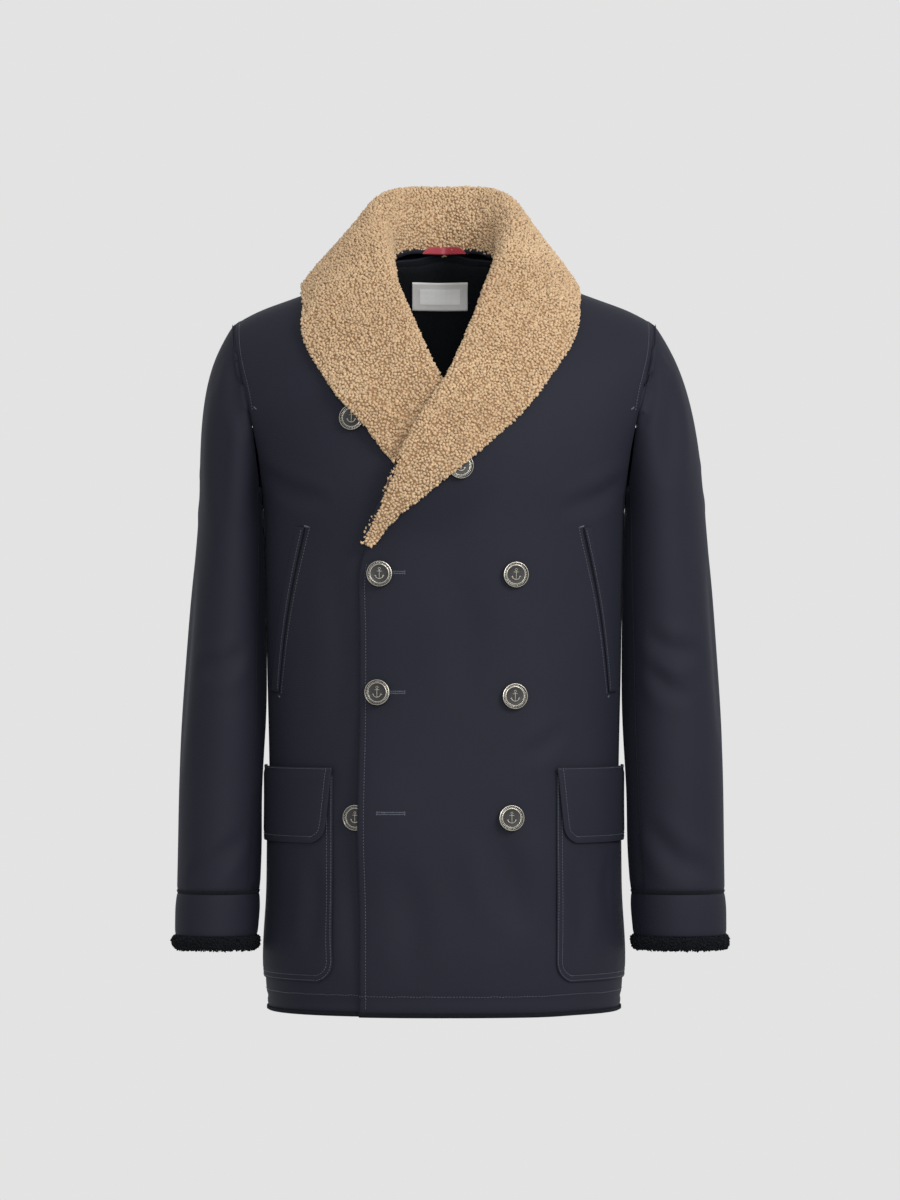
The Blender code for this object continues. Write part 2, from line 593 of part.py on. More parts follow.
def bezier(points, u):
    a, b, c, d = points
    u = u[:, None]
    return a * (1 - u) ** 3 + 3 * b * u * (1 - u) ** 2 + 3 * c * u**2 * (1 - u) + d * u**3


def collar_section(stand, fold, edge, up, out, shape):
    """The hide side across the collar, from the neck seam over the fold to the outer edge."""
    _, fullness, hook = shape
    rise = np.linalg.norm(fold - stand)
    reach = np.linalg.norm(edge - fold)
    turn = min(0.0016 + 0.0030 * max(hook - 1, 0), 0.5 * rise)
    over = min(2.2 * turn, 0.3 * reach)
    inner = bezier((stand, stand + up * 0.6 * rise, fold - out * turn, fold), np.linspace(0, 1, STAND_STEPS + 1))
    guide = edge + (fold - edge) * 0.42 + out * min(fullness * reach, 0.012)
    shares = np.linspace(0, 1, FALL_STEPS + 1)[1:] ** 1.35
    outer = bezier((fold, fold + out * over, guide, edge), shares)
    return np.vstack([inner, outer])


def pushes_clear(points, tree, clear):
    """How far each point of the hide side has to move, and which way, to be clear of the coat below."""
    pushes = np.zeros_like(points)
    for index in np.ndindex(points.shape[:-1]):
        near, out, _, distance = tree.find_nearest(Vector(points[index]), 0.08)
        if near is None:
            continue
        short = clear[index] - (Vector(points[index]) - near).dot(out)
        pushes[index] = np.array(out) * max(short, 0.0)
    return pushes


def collar_half(side, word, finish, tree):
    stations = collar_stations(side)
    run = np.concatenate([[0], np.cumsum(np.linalg.norm(np.diff(stations[:, 1], axis=0), axis=1))])
    course = through(run / run[-1], stations.reshape(len(stations), 18))
    placed = course(np.linspace(0, 1, COLLAR_STATIONS)).reshape(-1, 6, 3)
    placed[:, 3:5] = unit(placed[:, 3:5])
    hide = np.stack([collar_section(*row) for row in placed])
    hide[0, :, 0] = side * SEAM_GAP / 2
    from_fold = np.clip((np.arange(hide.shape[1]) - STAND_STEPS) / FALL_STEPS, 0, 1)
    clear = np.tile(COLLAR_CLEAR + (EDGE_CLEAR - COLLAR_CLEAR) * from_fold**2, (COLLAR_STATIONS, 1))
    for row in BUTTONS:
        if row["under_collar"] == word:
            near = np.hypot(hide[..., 0] - row["x"], hide[..., 2] - row["z"])
            clear = np.maximum(clear, (BUTTON_HEIGHT + 0.0026) * (1 - eased((near - 0.024) / 0.035)))
    pushes = pushes_clear(hide, tree, clear)
    flat = np.clip(1 - 2 * placed[:, 5, 2], 0, 1)  # 1 where nothing turns in under the fold
    start = np.linalg.norm(pushes[:, : STAND_STEPS + 3], axis=2).max(axis=1) * flat
    pushes[:, : STAND_STEPS + 1] = (placed[:, 4] * start[:, None])[:, None]
    hide = hide + pushes
    hints = np.zeros_like(hide)
    hints[:, STAND_STEPS + 1 :] = placed[:, 4:5]
    normals = grid_normals(hide, False, hints)
    normals[0, :, 0] = 0
    normals = unit(normals)
    thickness = COLLAR_PILE * np.array(PILE_SHAPE) * placed[:, 5, :1]
    pile = hide + normals * thickness[..., None]
    first = slice(0, STAND_STEPS + 1)
    short = pushes_clear(pile[:, first], tree, np.full(pile[:, first].shape[:2], 0.0008))
    rise = placed[:, 4] * (np.linalg.norm(short, axis=2).max(axis=1) * flat)[:, None]
    fade = np.clip(1 - (np.arange(hide.shape[1]) - STAND_STEPS) / 4, 0, 1)[None, :, None]
    pile += rise[:, None] * fade
    hide += rise[:, None] * fade
    wall(f"collar_{word}", pile, hide, finish)
    return pile


# Black pile inside the back neck, hang loop and label
LINING = 0.003
LINING_GAP = 0.0011
LINING_ROW, LINING_REACH = 11, 6  # from this row of the back up, this many columns either side of the middle
LOOP = {"half_length": 0.0225, "height": 0.0080, "thickness": 0.0016, "base_z": 0.0012}
LABEL = {"x": -0.0045, "z": -0.0430, "width": 0.059, "height": 0.029, "thickness": 0.0012}


def back_lining(finish, outer, normals):
    """The pile follows the back panel's own points, a seam's gap inside it."""
    middle = outer.shape[1] // 2
    span = slice(middle - LINING_REACH, middle + LINING_REACH + 1)
    face, way = outer[LINING_ROW:, span].copy(), normals[LINING_ROW:, span].copy()
    face[-1] = face[-2] * 0.15 + face[-1] * 0.85
    way[-1] = unit(way[-2] * 0.15 + way[-1] * 0.85)
    inner = face - way * (CLOTH + LINING_GAP + LINING)
    wall("lining_back", face - way * (CLOTH + LINING_GAP), inner, finish)
    return inner


def cast_back(tree, x, z):
    """Where a line to the back, from inside the neck, meets a face."""
    hit = tree.ray_cast(Vector((x, -0.05, z)), Vector((0, 1, 0)))[0]
    return np.array(hit)


def label(finish, tree):
    grid = [
        [cast_back(tree, LABEL["x"] + u * LABEL["width"], LABEL["z"] + v * LABEL["height"]) for u in np.linspace(-0.5, 0.5, 7)]
        for v in np.linspace(-0.5, 0.5, 3)
    ]
    behind = np.array(grid) - [0, 0.0009, 0]
    wall("label", behind - [0, LABEL["thickness"], 0], behind, finish)


def hang_loop(finish, tree):
    """A short tape that lies along the neck seam, its ends turned down into it."""
    across = np.linspace(-1, 1, 9)
    x = across * LOOP["half_length"]
    y = np.array([cast_back(tree, value, 0.010)[1] for value in np.where(np.abs(x) < 0.002, 0.002, x)]) - 0.0005
    top = LOOP["base_z"] + LOOP["height"] * (1 - np.clip((np.abs(across) - 0.62) / 0.38, 0, 1) ** 1.6 * 0.85)
    low = np.full_like(x, LOOP["base_z"])
    behind = np.stack([np.stack([x, y, low], 1), np.stack([x, y, top], 1)])
    wall("hang_loop", behind - [0, LOOP["thickness"], 0], behind, finish)


# Pockets
POCKET_CLOTH = 0.0021
POCKET = {"front_x": 0.1150, "top_z": -0.549, "bottom_z": -0.7640, "corner": 0.020}
FLAP = {"front_x": 0.1145, "low_front_x": 0.1225, "top_z": -0.5415, "bottom_z": -0.6200, "corner": 0.016}
FLAP_PROUD = 0.0014  # how far the flap's lower edge stands off the pocket
POCKET_SIDE_ANGLE = 95.5
PATCH_COLUMNS = list(range(10, 19))  # of the front they lie on
WELT = {"top_x": 0.1450, "top_z": -0.292, "bottom_x": 0.1720, "bottom_z": -0.464, "bow": 0.004, "width": 0.0085}
WELT_CLOTH = 0.0018


def corner_inset(height, radius):
    """How far a rounded corner has come in at this height above the bottom edge."""
    if height >= radius:
        return 0.0
    return radius - math.sqrt(radius**2 - (radius - height) ** 2)


def panel_patch(name, side, heights, front_x, lift, finish):
    """A patch on a front from front_x(z) round to the side, on the front's own columns; lift is its height there."""
    outer, inner = [], []
    for z in heights:
        start, level = place_of(front_x(z), z)
        angles = [start]
        angles += [max(front_column_angle(c, level), start + 0.8 * (k + 1)) for k, c in enumerate(PATCH_COLUMNS)]
        angles = np.array(angles + [POCKET_SIDE_ANGLE])
        skin, out = front_skin(side, angles, np.full(len(angles), level))
        inner.append(skin + out * lift(z))
        outer.append(skin + out * (lift(z) + POCKET_CLOTH))
    wall(name, np.array(outer), np.array(inner), finish)


def patch_rows(top, bottom, radius):
    """Heights of a patch's rows: close together round its lower corner, then those of the front itself."""
    low = [bottom + radius * (1 - math.cos(t)) for t in np.linspace(0.25, math.pi / 2, 4)]
    return [bottom] + low + [z for z in SIDE_ROWS if bottom + radius + 0.003 < z < top - 0.003] + [top]


def pocket_pieces(side, word, finish):
    panel_patch(
        f"pocket_{word}",
        side,
        patch_rows(POCKET["top_z"], POCKET["bottom_z"], POCKET["corner"]),
        lambda z: POCKET["front_x"] + corner_inset(z - POCKET["bottom_z"] + 0.0004, POCKET["corner"]),
        lambda z: SEAM_GAP + 0.0001,
        finish,
    )
    drop = FLAP["top_z"] - FLAP["bottom_z"]

    def flap_front(z):
        lean = (FLAP["low_front_x"] - FLAP["front_x"]) * (FLAP["top_z"] - z) / drop
        return FLAP["front_x"] + lean + corner_inset(z - FLAP["bottom_z"] + 0.0004, FLAP["corner"])

    def flap_lift(z):
        return POCKET_CLOTH + 3 * SEAM_GAP + FLAP_PROUD * eased((FLAP["top_z"] - z) / drop)

    rows = patch_rows(FLAP["top_z"], FLAP["bottom_z"], FLAP["corner"])
    panel_patch(f"pocket_flap_{word}", side, rows, flap_front, flap_lift, finish)


def pocket_welt(side, word, finish):
    """The welt of the slanting chest pocket, on the sleeve side of its mouth."""
    outer, inner = [], []
    for share in np.linspace(0, 1, 11):
        x = WELT["bottom_x"] + (WELT["top_x"] - WELT["bottom_x"]) * share + WELT["bow"] * math.sin(math.pi * share)
        z = WELT["bottom_z"] + (WELT["top_z"] - WELT["bottom_z"]) * share
        outer.append([])
        inner.append([])
        for step in (0.0, 0.5, 1.0):
            angle, level = place_of(x + step * WELT["width"], z + 0.1 * step * WELT["width"])
            skin, out = front_skin(side, np.array(angle), np.array(level))
            inner[-1].append(skin + out * (SEAM_GAP + 0.0002))
            outer[-1].append(skin + out * (SEAM_GAP + 0.0002 + WELT_CLOTH * (1.0 if step < 1 else 0.6)))
    wall(f"pocket_welt_{word}", np.array(outer), np.array(inner), finish)


# Buttons
BUTTON_SIDES = 14
BUTTON_HEIGHT = 0.0062
BUTTON_PROFILE = [  # radius and height above the cloth, from the shank round the rim to the middle
    {"radius": 0.0036, "height": 0.0003},
    {"radius": 0.0036, "height": 0.0017},
    {"radius": 0.0130, "height": 0.0022},
    {"radius": 0.0136, "height": 0.0046},
    {"radius": 0.0124, "height": 0.0062},
    {"radius": 0.0106, "height": 0.0050},
]
BUTTON_CROWN = 0.0056
BUTTONS = [  # x is towards the wearer's left; the front names the panel whose face the button lies on
    {"name": "button_collar_right", "x": -0.0945, "z": -0.1790, "front": RIGHT, "under_collar": "right"},
    {"name": "button_top_right", "x": -0.0660, "z": -0.3400, "front": LEFT, "under_collar": None},
    {"name": "button_middle_right", "x": -0.0680, "z": -0.4630, "front": LEFT, "under_collar": None},
    {"name": "button_low_right", "x": -0.0905, "z": -0.5930, "front": RIGHT, "under_collar": None},
    {"name": "button_collar_left", "x": 0.0165, "z": -0.2290, "front": LEFT, "under_collar": "left"},
    {"name": "button_top_left", "x": 0.0735, "z": -0.3410, "front": LEFT, "under_collar": None},
    {"name": "button_middle_left", "x": 0.0725, "z": -0.4670, "front": LEFT, "under_collar": None},
    {"name": "button_low_left", "x": 0.0690, "z": -0.5930, "front": LEFT, "under_collar": None},
]


def button_mesh():
    turns = 2 * math.pi * np.arange(BUTTON_SIDES) / BUTTON_SIDES
    rings = [
        [(row["radius"] * math.cos(t), row["radius"] * math.sin(t), row["height"]) for t in turns]
        for row in BUTTON_PROFILE
    ]
    points = [point for ring in rings for point in ring]
    faces = grid_faces(len(rings), BUTTON_SIDES, ring=True)
    foot, crown = len(points), len(points) + 1
    points += [(0, 0, BUTTON_PROFILE[0]["height"]), (0, 0, BUTTON_CROWN)]
    last = (len(rings) - 1) * BUTTON_SIDES
    for j in range(BUTTON_SIDES):
        k = (j + 1) % BUTTON_SIDES
        faces += [(foot, j, k), (crown, last + j, last + k)]
    return mesh_of("button", points, faces)


def buttons(finish, trees):
    mesh = button_mesh()
    for row in BUTTONS:
        ahead = Vector((row["x"], -1.0, row["z"]))
        skin, out = trees[row["front"]].ray_cast(ahead, Vector((0, 1, 0)))[:2]
        made = add_object(row["name"], mesh, finish)
        made.location = skin
        made.rotation_mode = "QUATERNION"
        made.rotation_quaternion = out.to_track_quat("Z", "Y")


def tree_over(*grids):
    """A search tree over the outer faces of some panels, with its normals pointing out of the coat."""
    points, faces = [], []
    for grid in grids:
        for quad in grid_faces(grid.shape[0], grid.shape[1], ring=False, first=len(points)):
            faces.append(quad)
        points += [Vector(point) for point in grid.reshape(-1, 3)]
    oriented = []
    for quad in faces:
        a, b, c = (points[i] for i in quad[:3])
        out = (b - a).cross(c - a)
        centre = (a + c) / 2
        away = centre - Vector((0, 0, min(centre.z, -0.2)))
        oriented.append(quad if out.dot(away) > 0 else quad[::-1])
    return BVHTree.FromPolygons(points, oriented)


def main():
    for old in list(bpy.data.objects):
        bpy.data.objects.remove(old)
    navy = material("navy_cloth", (43, 45, 55), 0.85)
    curl = material("collar_pile", (198, 168, 134), 0.95)
    black = material("black_pile", (15, 18, 21), 0.95)
    red = material("loop_tape", (124, 28, 43), 0.6)
    grey = material("label_cloth", (190, 187, 180), 0.8)
    metal = material("button_metal", (92, 92, 90), 0.35, 1.0)

    left_front = front_panel(LEFT, "front_left", navy)
    right_front = front_panel(RIGHT, "front_right", navy)
    back_face, back_normals = back_panel("back", navy)
    for side, word in ((LEFT, "left"), (RIGHT, "right")):
        sleeve_pieces(side, word, navy)
        cuff_band(side, word, navy)
        cuff_pile(side, word, black)
        pocket_pieces(side, word, navy)
        pocket_welt(side, word, navy)
    left_collar = collar_half(LEFT, "left", curl, tree_over(left_front, back_face))
    right_collar = collar_half(RIGHT, "right", curl, tree_over(right_front, back_face))
    lining_face = back_lining(black, back_face, back_normals)
    label(grey, tree_over(lining_face))
    hang_loop(red, tree_over(left_collar[:12, : STAND_STEPS + 1], right_collar[:12, : STAND_STEPS + 1]))
    buttons(metal, {LEFT: tree_over(left_front), RIGHT: tree_over(right_front)})


main()
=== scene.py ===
"""A double-breasted coat in navy cloth with a curly pile shawl collar, filled out as it is worn.

Sizes are in metres. +Z is up, the coat faces -Y and +X is towards the wearer's left.
"""
import json
import math

import bmesh
import bpy
import numpy as np
from mathutils import Matrix, Vector
from mathutils.bvhtree import BVHTree
from mathutils.kdtree import KDTree

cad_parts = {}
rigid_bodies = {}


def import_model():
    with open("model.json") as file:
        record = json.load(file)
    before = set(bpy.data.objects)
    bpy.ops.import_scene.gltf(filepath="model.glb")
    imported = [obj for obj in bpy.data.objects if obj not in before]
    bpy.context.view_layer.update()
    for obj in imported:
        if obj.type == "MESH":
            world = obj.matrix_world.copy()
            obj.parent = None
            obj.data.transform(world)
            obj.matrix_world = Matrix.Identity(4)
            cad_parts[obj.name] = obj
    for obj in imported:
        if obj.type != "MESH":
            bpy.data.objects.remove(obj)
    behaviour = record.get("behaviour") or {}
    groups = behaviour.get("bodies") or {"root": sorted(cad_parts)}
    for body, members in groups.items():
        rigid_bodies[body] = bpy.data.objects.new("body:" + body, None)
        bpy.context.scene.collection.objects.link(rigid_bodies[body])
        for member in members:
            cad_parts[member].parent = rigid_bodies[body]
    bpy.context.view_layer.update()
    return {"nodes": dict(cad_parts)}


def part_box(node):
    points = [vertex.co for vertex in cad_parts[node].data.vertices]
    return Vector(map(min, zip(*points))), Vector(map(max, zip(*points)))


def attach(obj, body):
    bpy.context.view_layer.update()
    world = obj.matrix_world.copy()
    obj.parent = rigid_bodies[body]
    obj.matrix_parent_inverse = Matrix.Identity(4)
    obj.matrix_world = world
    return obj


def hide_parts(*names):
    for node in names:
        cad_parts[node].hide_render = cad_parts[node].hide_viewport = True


for old in list(bpy.data.objects):
    bpy.data.objects.remove(old)
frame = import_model()


# Back
# One piece of tightly woven navy shell cloth from shoulder to hem, with black pile bonded behind it.
# It is sewn to the fronts at the sides and shoulders, and its hem is turned up and stitched.
MERGE = 1e-5
RIM_ANGLE = math.radians(55)  # the rim of a wall meets its faces more sharply than this
CLOTH = 0.0026
SEAM_DIP = 0.0008  # how far the cloth rolls in at a seam or an edge
SEAM_REACH = 0.0032
STITCH = {"pitch": 0.0032, "length": 0.0023, "thread": 0.00036, "lift": 0.00012}
SEAM_GAP = 0.0090  # borders that lie closer than this are sewn together
OVERLAP = 0.0010  # a border that already reaches this far under the other stays
TRUNK = (0.0, 0.0)  # x and y of the middle of the trunk
HEM_SEAM = 0.0200  # the turned hem's height
HEM_ROW = 0.0255
HEM_GROOVE = 0.0012
HEM_REACH = 0.0030
BORDER_PITCH = 0.0008  # how finely a border is cut up to sew another one to it
LINE_PITCH = 0.0010  # how finely a line is cut up to measure distances from it
INWARD_STEP = {"step": 0.004, "miss": 0.002}  # a step off the surface ends further from it than the miss
OUTWARD_STEP = {"step": 0.003, "miss": 0.0015}
BANDS = 0.314  # the wave texture's scale for bands that lie a metre apart
CREASE = {"points": 25, "rounding": 6, "ridge_out": 1.9, "ridge_height": 0.5, "gain": 1.5}


def linear(code):
    """The linear colour of an sRGB hex value."""
    parts = [int(code[k : k + 2], 16) / 255 for k in (1, 3, 5)]
    return tuple(p / 12.92 if p <= 0.04045 else ((p + 0.055) / 1.055) ** 2.4 for p in parts) + (1.0,)


def add(tree, kind, inputs=None, **settings):
    """A node with its settings. Each input is given a value or another node's output."""
    node = tree.nodes.new(kind)
    for name, value in settings.items():
        setattr(node, name, value)
    for name, value in (inputs or {}).items():
        if isinstance(value, bpy.types.NodeSocket):
            tree.links.new(value, node.inputs[name])
        else:
            node.inputs[name].default_value = value
    return node


def start_material(name, roughness, shader_inputs=None):
    """A material, its tree, its shader with these inputs, and the place that patterns are drawn by."""
    made = bpy.data.materials.new(name)
    made.use_nodes = True
    tree = made.node_tree
    shader = tree.nodes["Principled BSDF"]
    shader.inputs["Roughness"].default_value = roughness
    for socket, value in (shader_inputs or {}).items():
        shader.inputs[socket].default_value = value
    place = add(tree, "ShaderNodeTexCoord").outputs["Object"]
    return made, tree, shader, place


def mottled(name, roughness, shader_inputs, pattern, tones, relief=None):
    """A material that runs between two tones by one pattern, which can also raise its surface."""
    made, tree, shader, place = start_material(name, roughness, shader_inputs)
    kind, inputs, settings = pattern
    spots = add(tree, kind, {"Vector": place, **inputs}, **settings).outputs["Fac"]
    ends = {"A": linear(tones[0]), "B": linear(tones[1])}
    shade = add(tree, "ShaderNodeMix", {"Factor": spots, **ends}, data_type="RGBA")
    tree.links.new(shade.outputs["Result"], shader.inputs["Base Color"])
    if relief:
        bump = add(tree, "ShaderNodeBump", {**relief, "Height": spots})
        tree.links.new(bump.outputs["Normal"], shader.inputs["Normal"])
    return made


def shell_cloth():
    """Densely woven cotton and nylon twill, dyed navy. It is matt, with a faint soft sheen at grazing
    angles. Its real yarns are 0.25 mm apart; they are drawn 1.3 mm apart, the finest that shows."""
    gloss = {"Sheen Weight": 0.05, "Sheen Roughness": 0.45, "Specular IOR Level": 0.12}
    gloss["Sheen Tint"] = linear("#8E97AC")
    made, tree, shader, place = start_material("navy_twill", 0.68, gloss)
    cloud = add(tree, "ShaderNodeTexNoise", {"Vector": place, "Scale": 9.0, "Detail": 4.0})
    yarn = add(
        tree,
        "ShaderNodeTexNoise",
        {"Vector": place, "Scale": 1 / 0.0013, "Detail": 2.0, "Roughness": 0.6},
    )
    tones = {"A": linear("#1A1B25"), "B": linear("#1F2029")}
    shade = add(tree, "ShaderNodeMix", {"Factor": cloud.outputs["Fac"], **tones}, data_type="RGBA")
    fleck = add(
        tree,
        "ShaderNodeMapRange",
        {"Value": yarn.outputs["Fac"], "To Min": 0.90, "To Max": 1.10},
    )
    mixed = add(
        tree,
        "ShaderNodeVectorMath",
        {0: shade.outputs["Result"], "Scale": fleck.outputs["Result"]},
        operation="SCALE",
    )
    tree.links.new(mixed.outputs["Vector"], shader.inputs["Base Color"])
    twill = add(
        tree,
        "ShaderNodeTexWave",
        {"Vector": place, "Scale": BANDS / 0.0013, "Distortion": 1.5, "Detail": 1.0, "Detail Scale": 2.0},
        bands_direction="DIAGONAL",
    )
    both = add(
        tree,
        "ShaderNodeMath",
        {0: yarn.outputs["Fac"], 1: twill.outputs["Fac"]},
        operation="ADD",
    )
    bump = add(
        tree,
        "ShaderNodeBump",
        {"Strength": 0.22, "Distance": 0.00025, "Height": both.outputs["Value"]},
    )
    tree.links.new(bump.outputs["Normal"], shader.inputs["Normal"])
    return made


def black_pile():
    """Black sheepskin pile, clipped short: it swallows the light, and shows only a soft mottle."""
    gloss = {"Sheen Weight": 0.12, "Sheen Roughness": 0.6, "Specular IOR Level": 0.1}
    gloss["Sheen Tint"] = linear("#59606B")
    tufts = ("ShaderNodeTexNoise", {"Scale": 1 / 0.0022, "Detail": 3.0, "Distortion": 0.6}, {})
    relief = {"Strength": 0.8, "Distance": 0.0012}
    return mottled("black_sheepskin_pile", 0.95, gloss, tufts, ("#07090B", "#15181C"), relief)


def sewing_thread():
    """Spun polyester thread, a shade lighter than the cloth and a little glossier."""
    twist = ("ShaderNodeTexNoise", {"Scale": 1 / 0.0008, "Detail": 2.0}, {})
    return mottled("navy_thread", 0.45, {"Sheen Weight": 0.2}, twist, ("#2C303E", "#454A5A"))


NAVY, BLACK, THREAD = shell_cloth(), black_pile(), sewing_thread()


def points_of(mesh, kind="vertices", field="co"):
    values = np.empty(len(mesh.vertices) * 3)
    getattr(mesh, kind).foreach_get(field, values)
    return values.reshape(-1, 3)


def quads_of(node):
    """A CAD node's loose triangles, merged and paired into quads."""
    work = bmesh.new()
    work.from_mesh(frame["nodes"][node].data)
    bmesh.ops.remove_doubles(work, verts=work.verts, dist=MERGE)
    bmesh.ops.join_triangles(
        work,
        faces=work.faces,
        angle_face_threshold=math.radians(60),
        angle_shape_threshold=math.pi,
        topology_influence=2.0,
    )
    work.normal_update()
    return work


def faces_out(node, middle, inside, rim_angle):
    """The side of a CAD wall that faces away from the middle of its tube, or towards it. The larger
    side, if there is no middle."""
    work = quads_of(node)
    sides = []
    for seed in work.faces:
        if seed.tag:
            continue
        seed.tag = True
        side = [seed]
        for face in side:
            for edge in face.edges:
                for other in edge.link_faces:
                    if not other.tag and edge.calc_face_angle(0) < rim_angle:
                        other.tag = True
                        side.append(other)
        outward = 0.0
        for face in side:
            centre = face.calc_center_median()
            away = Vector((centre.x - middle[0], centre.y - middle[1], 0)) if middle else face.normal
            outward += face.calc_area() * face.normal.dot(away.normalized()) * (-1 if inside else 1)
        sides.append((outward, side))
    kept = set(max(sides, key=lambda row: row[0])[1])
    bmesh.ops.delete(work, geom=[f for f in work.faces if f not in kept], context="FACES")
    mesh = bpy.data.meshes.new(node)
    work.to_mesh(mesh)
    work.free()
    return mesh


def new_piece(name, mesh, *finishes):
    made = bpy.data.objects.new(name, mesh)
    bpy.context.scene.collection.objects.link(made)
    if mesh.materials:
        mesh.materials.clear()
    for finish in finishes:
        mesh.materials.append(finish)
    return made


def closed_mesh(name, points, faces):
    """A closed mesh with its faces turned outwards and its doubled points merged."""
    mesh = bpy.data.meshes.new(name)
    mesh.from_pydata([tuple(p) for p in points], [], faces)
    work = bmesh.new()
    work.from_mesh(mesh)
    bmesh.ops.remove_doubles(work, verts=work.verts, dist=MERGE)
    bmesh.ops.recalc_face_normals(work, faces=work.faces)
    work.to_mesh(mesh)
    work.free()
    return mesh


def cut_away(mesh, gone):
    """Takes out the faces that a test picks."""
    work = bmesh.new()
    work.from_mesh(mesh)
    bmesh.ops.delete(work, geom=[face for face in work.faces if gone(face)], context="FACES")
    work.to_mesh(mesh)
    work.free()


def evaluated(piece):
    """A piece's mesh with its modifiers applied."""
    graph = bpy.context.evaluated_depsgraph_get()
    return bpy.data.meshes.new_from_object(piece.evaluated_get(graph), depsgraph=graph)


class Shell:
    """One side of a CAD wall as a fine smooth surface. Each pass corrects the coarse cage, so that the
    surface runs through the wall's own points."""

    def __init__(self, name, node, middle, levels, inside=False, rim_angle=RIM_ANGLE, passes=3):
        cage = faces_out(node, middle, inside, rim_angle)
        self.piece = new_piece(name, cage)
        smooth = self.piece.modifiers.new("Smooth", "SUBSURF")
        smooth.levels = smooth.render_levels = levels
        smooth.boundary_smooth = "PRESERVE_CORNERS"
        start = points_of(cage)
        for _ in range(passes):
            now = points_of(evaluated(self.piece))[: len(start)]
            cage.vertices.foreach_set("co", (points_of(cage) + start - now).ravel())
            cage.update()
        mesh = evaluated(self.piece)
        self.piece.modifiers.clear()
        self.piece.data = mesh
        uses = np.zeros(len(start), int)
        for face in cage.polygons:
            uses[list(face.vertices)] += 1
        self.sides = self.border_sides(mesh, set(np.flatnonzero(uses == 1)))
        self.read()

    def read(self):
        mesh = self.piece.data
        self.points = points_of(mesh)
        self.normals = np.array([v.normal for v in mesh.vertices])
        polygons = [tuple(face.vertices) for face in mesh.polygons]
        self.tree = BVHTree.FromPolygons([Vector(p) for p in self.points], polygons)

    def write(self):
        self.piece.data.vertices.foreach_set("co", self.points.ravel())
        self.piece.data.update()
        self.read()

    @staticmethod
    def border_sides(mesh, corners):
        """The border's vertices in order, cut at its corners."""
        uses = {}
        for face in mesh.polygons:
            for key in face.edge_keys:
                uses[key] = uses.get(key, 0) + 1
        beside = {}
        for a, b in (key for key, count in uses.items() if count == 1):
            beside.setdefault(a, []).append(b)
            beside.setdefault(b, []).append(a)
        corners = corners | {v for v, near in beside.items() if len(near) != 2}
        sides, seen = [], set()
        for first in sorted(beside, key=lambda v: (v not in corners, v)):
            for step in beside[first]:
                if (first, step) in seen or (first not in corners and first in seen):
                    continue
                line = [first, step]
                while line[-1] not in corners and line[-1] != first:
                    ahead = [v for v in beside[line[-1]] if v != line[-2]]
                    line.append(ahead[0])
                seen.update(zip(line, line[1:]))
                seen.update(zip(line[1:], line))
                seen.update(v for v in line if v not in corners)
                sides.append(np.array(line))
        return sides

    def side(self, *near):
        """The side of the border whose middle lies nearest to a point."""
        return min(self.sides, key=lambda line: np.linalg.norm(self.points[line[len(line) // 2]] - near))

    def inset(self, line, depth, ends=(0.0, 0.0)):
        """A line on the surface, this far in from a side, with its ends cut back."""
        along = self.points[line]
        way = np.gradient(along, axis=0)
        inward = np.cross(self.normals[line], way)
        inward /= np.linalg.norm(inward, axis=1)[:, None]
        middle = len(line) // 2
        probe = Vector(along[middle] + inward[middle] * INWARD_STEP["step"])
        if (self.tree.find_nearest(probe)[0] - probe).length > INWARD_STEP["miss"]:
            inward = -inward
        moved = self.snap(along + inward * depth)
        gone = np.concatenate([[0], np.cumsum(np.linalg.norm(np.diff(moved, axis=0), axis=1))])
        return moved[(gone >= ends[0]) & (gone <= gone[-1] - ends[1])]

    def snap(self, places):
        return np.array([self.tree.find_nearest(Vector(p))[0] for p in places])

    def push(self, heights):
        """Moves the surface along its normals."""
        self.points += self.normals * heights[:, None]
        self.write()

    def outward(self, line):
        """The directions that lead off the surface along a side, each at right angles to the side."""
        out = np.cross(self.normals[line], np.gradient(self.points[line], axis=0))
        out /= np.maximum(np.linalg.norm(out, axis=1), MERGE * MERGE)[:, None]
        votes = 0
        for place, way in zip(self.points[line], out):
            probe = Vector(place + way * OUTWARD_STEP["step"])
            missed = (self.tree.find_nearest(probe)[0] - probe).length > OUTWARD_STEP["miss"]
            votes += 1 if missed else -1
        return out if votes > 0 else -out

    def lie_on(self, other):
        """Lays the surface on another one, everywhere at its own usual height over it."""
        feet = [other.tree.find_nearest(Vector(p)) for p in self.points]
        height = np.median([row[3] for row in feet])
        self.points = np.array([np.array(row[0] + row[1] * height) for row in feet])
        self.push(np.zeros(len(self.points)))

    def meet(self, *others):
        """Draws the border onto the borders of the pieces it is sewn to, where a gap is left."""
        near = [other.points[line] for other in others for line in other.sides]
        tree = nearest_in(np.concatenate([resampled(line, BORDER_PITCH) for line in near]))
        ways = {}
        for line in self.sides:
            ways.update(zip(line, self.outward(line)))
        own = nearest_in(self.points[list(ways)])
        moves = []
        for vertex, way in ways.items():
            place = Vector(self.points[vertex])
            found, _, far = tree.find(place)
            move = np.array(found - place)
            moves.append(move if far < SEAM_GAP and move @ way > -OVERLAP else np.zeros(3))
        for vertex, place in enumerate(self.points.copy()):
            _, index, far = own.find(Vector(place))
            if far < 4 * SEAM_GAP:
                self.points[vertex] = place + moves[index] * math.exp(-((far / SEAM_GAP) ** 2))
        self.write()

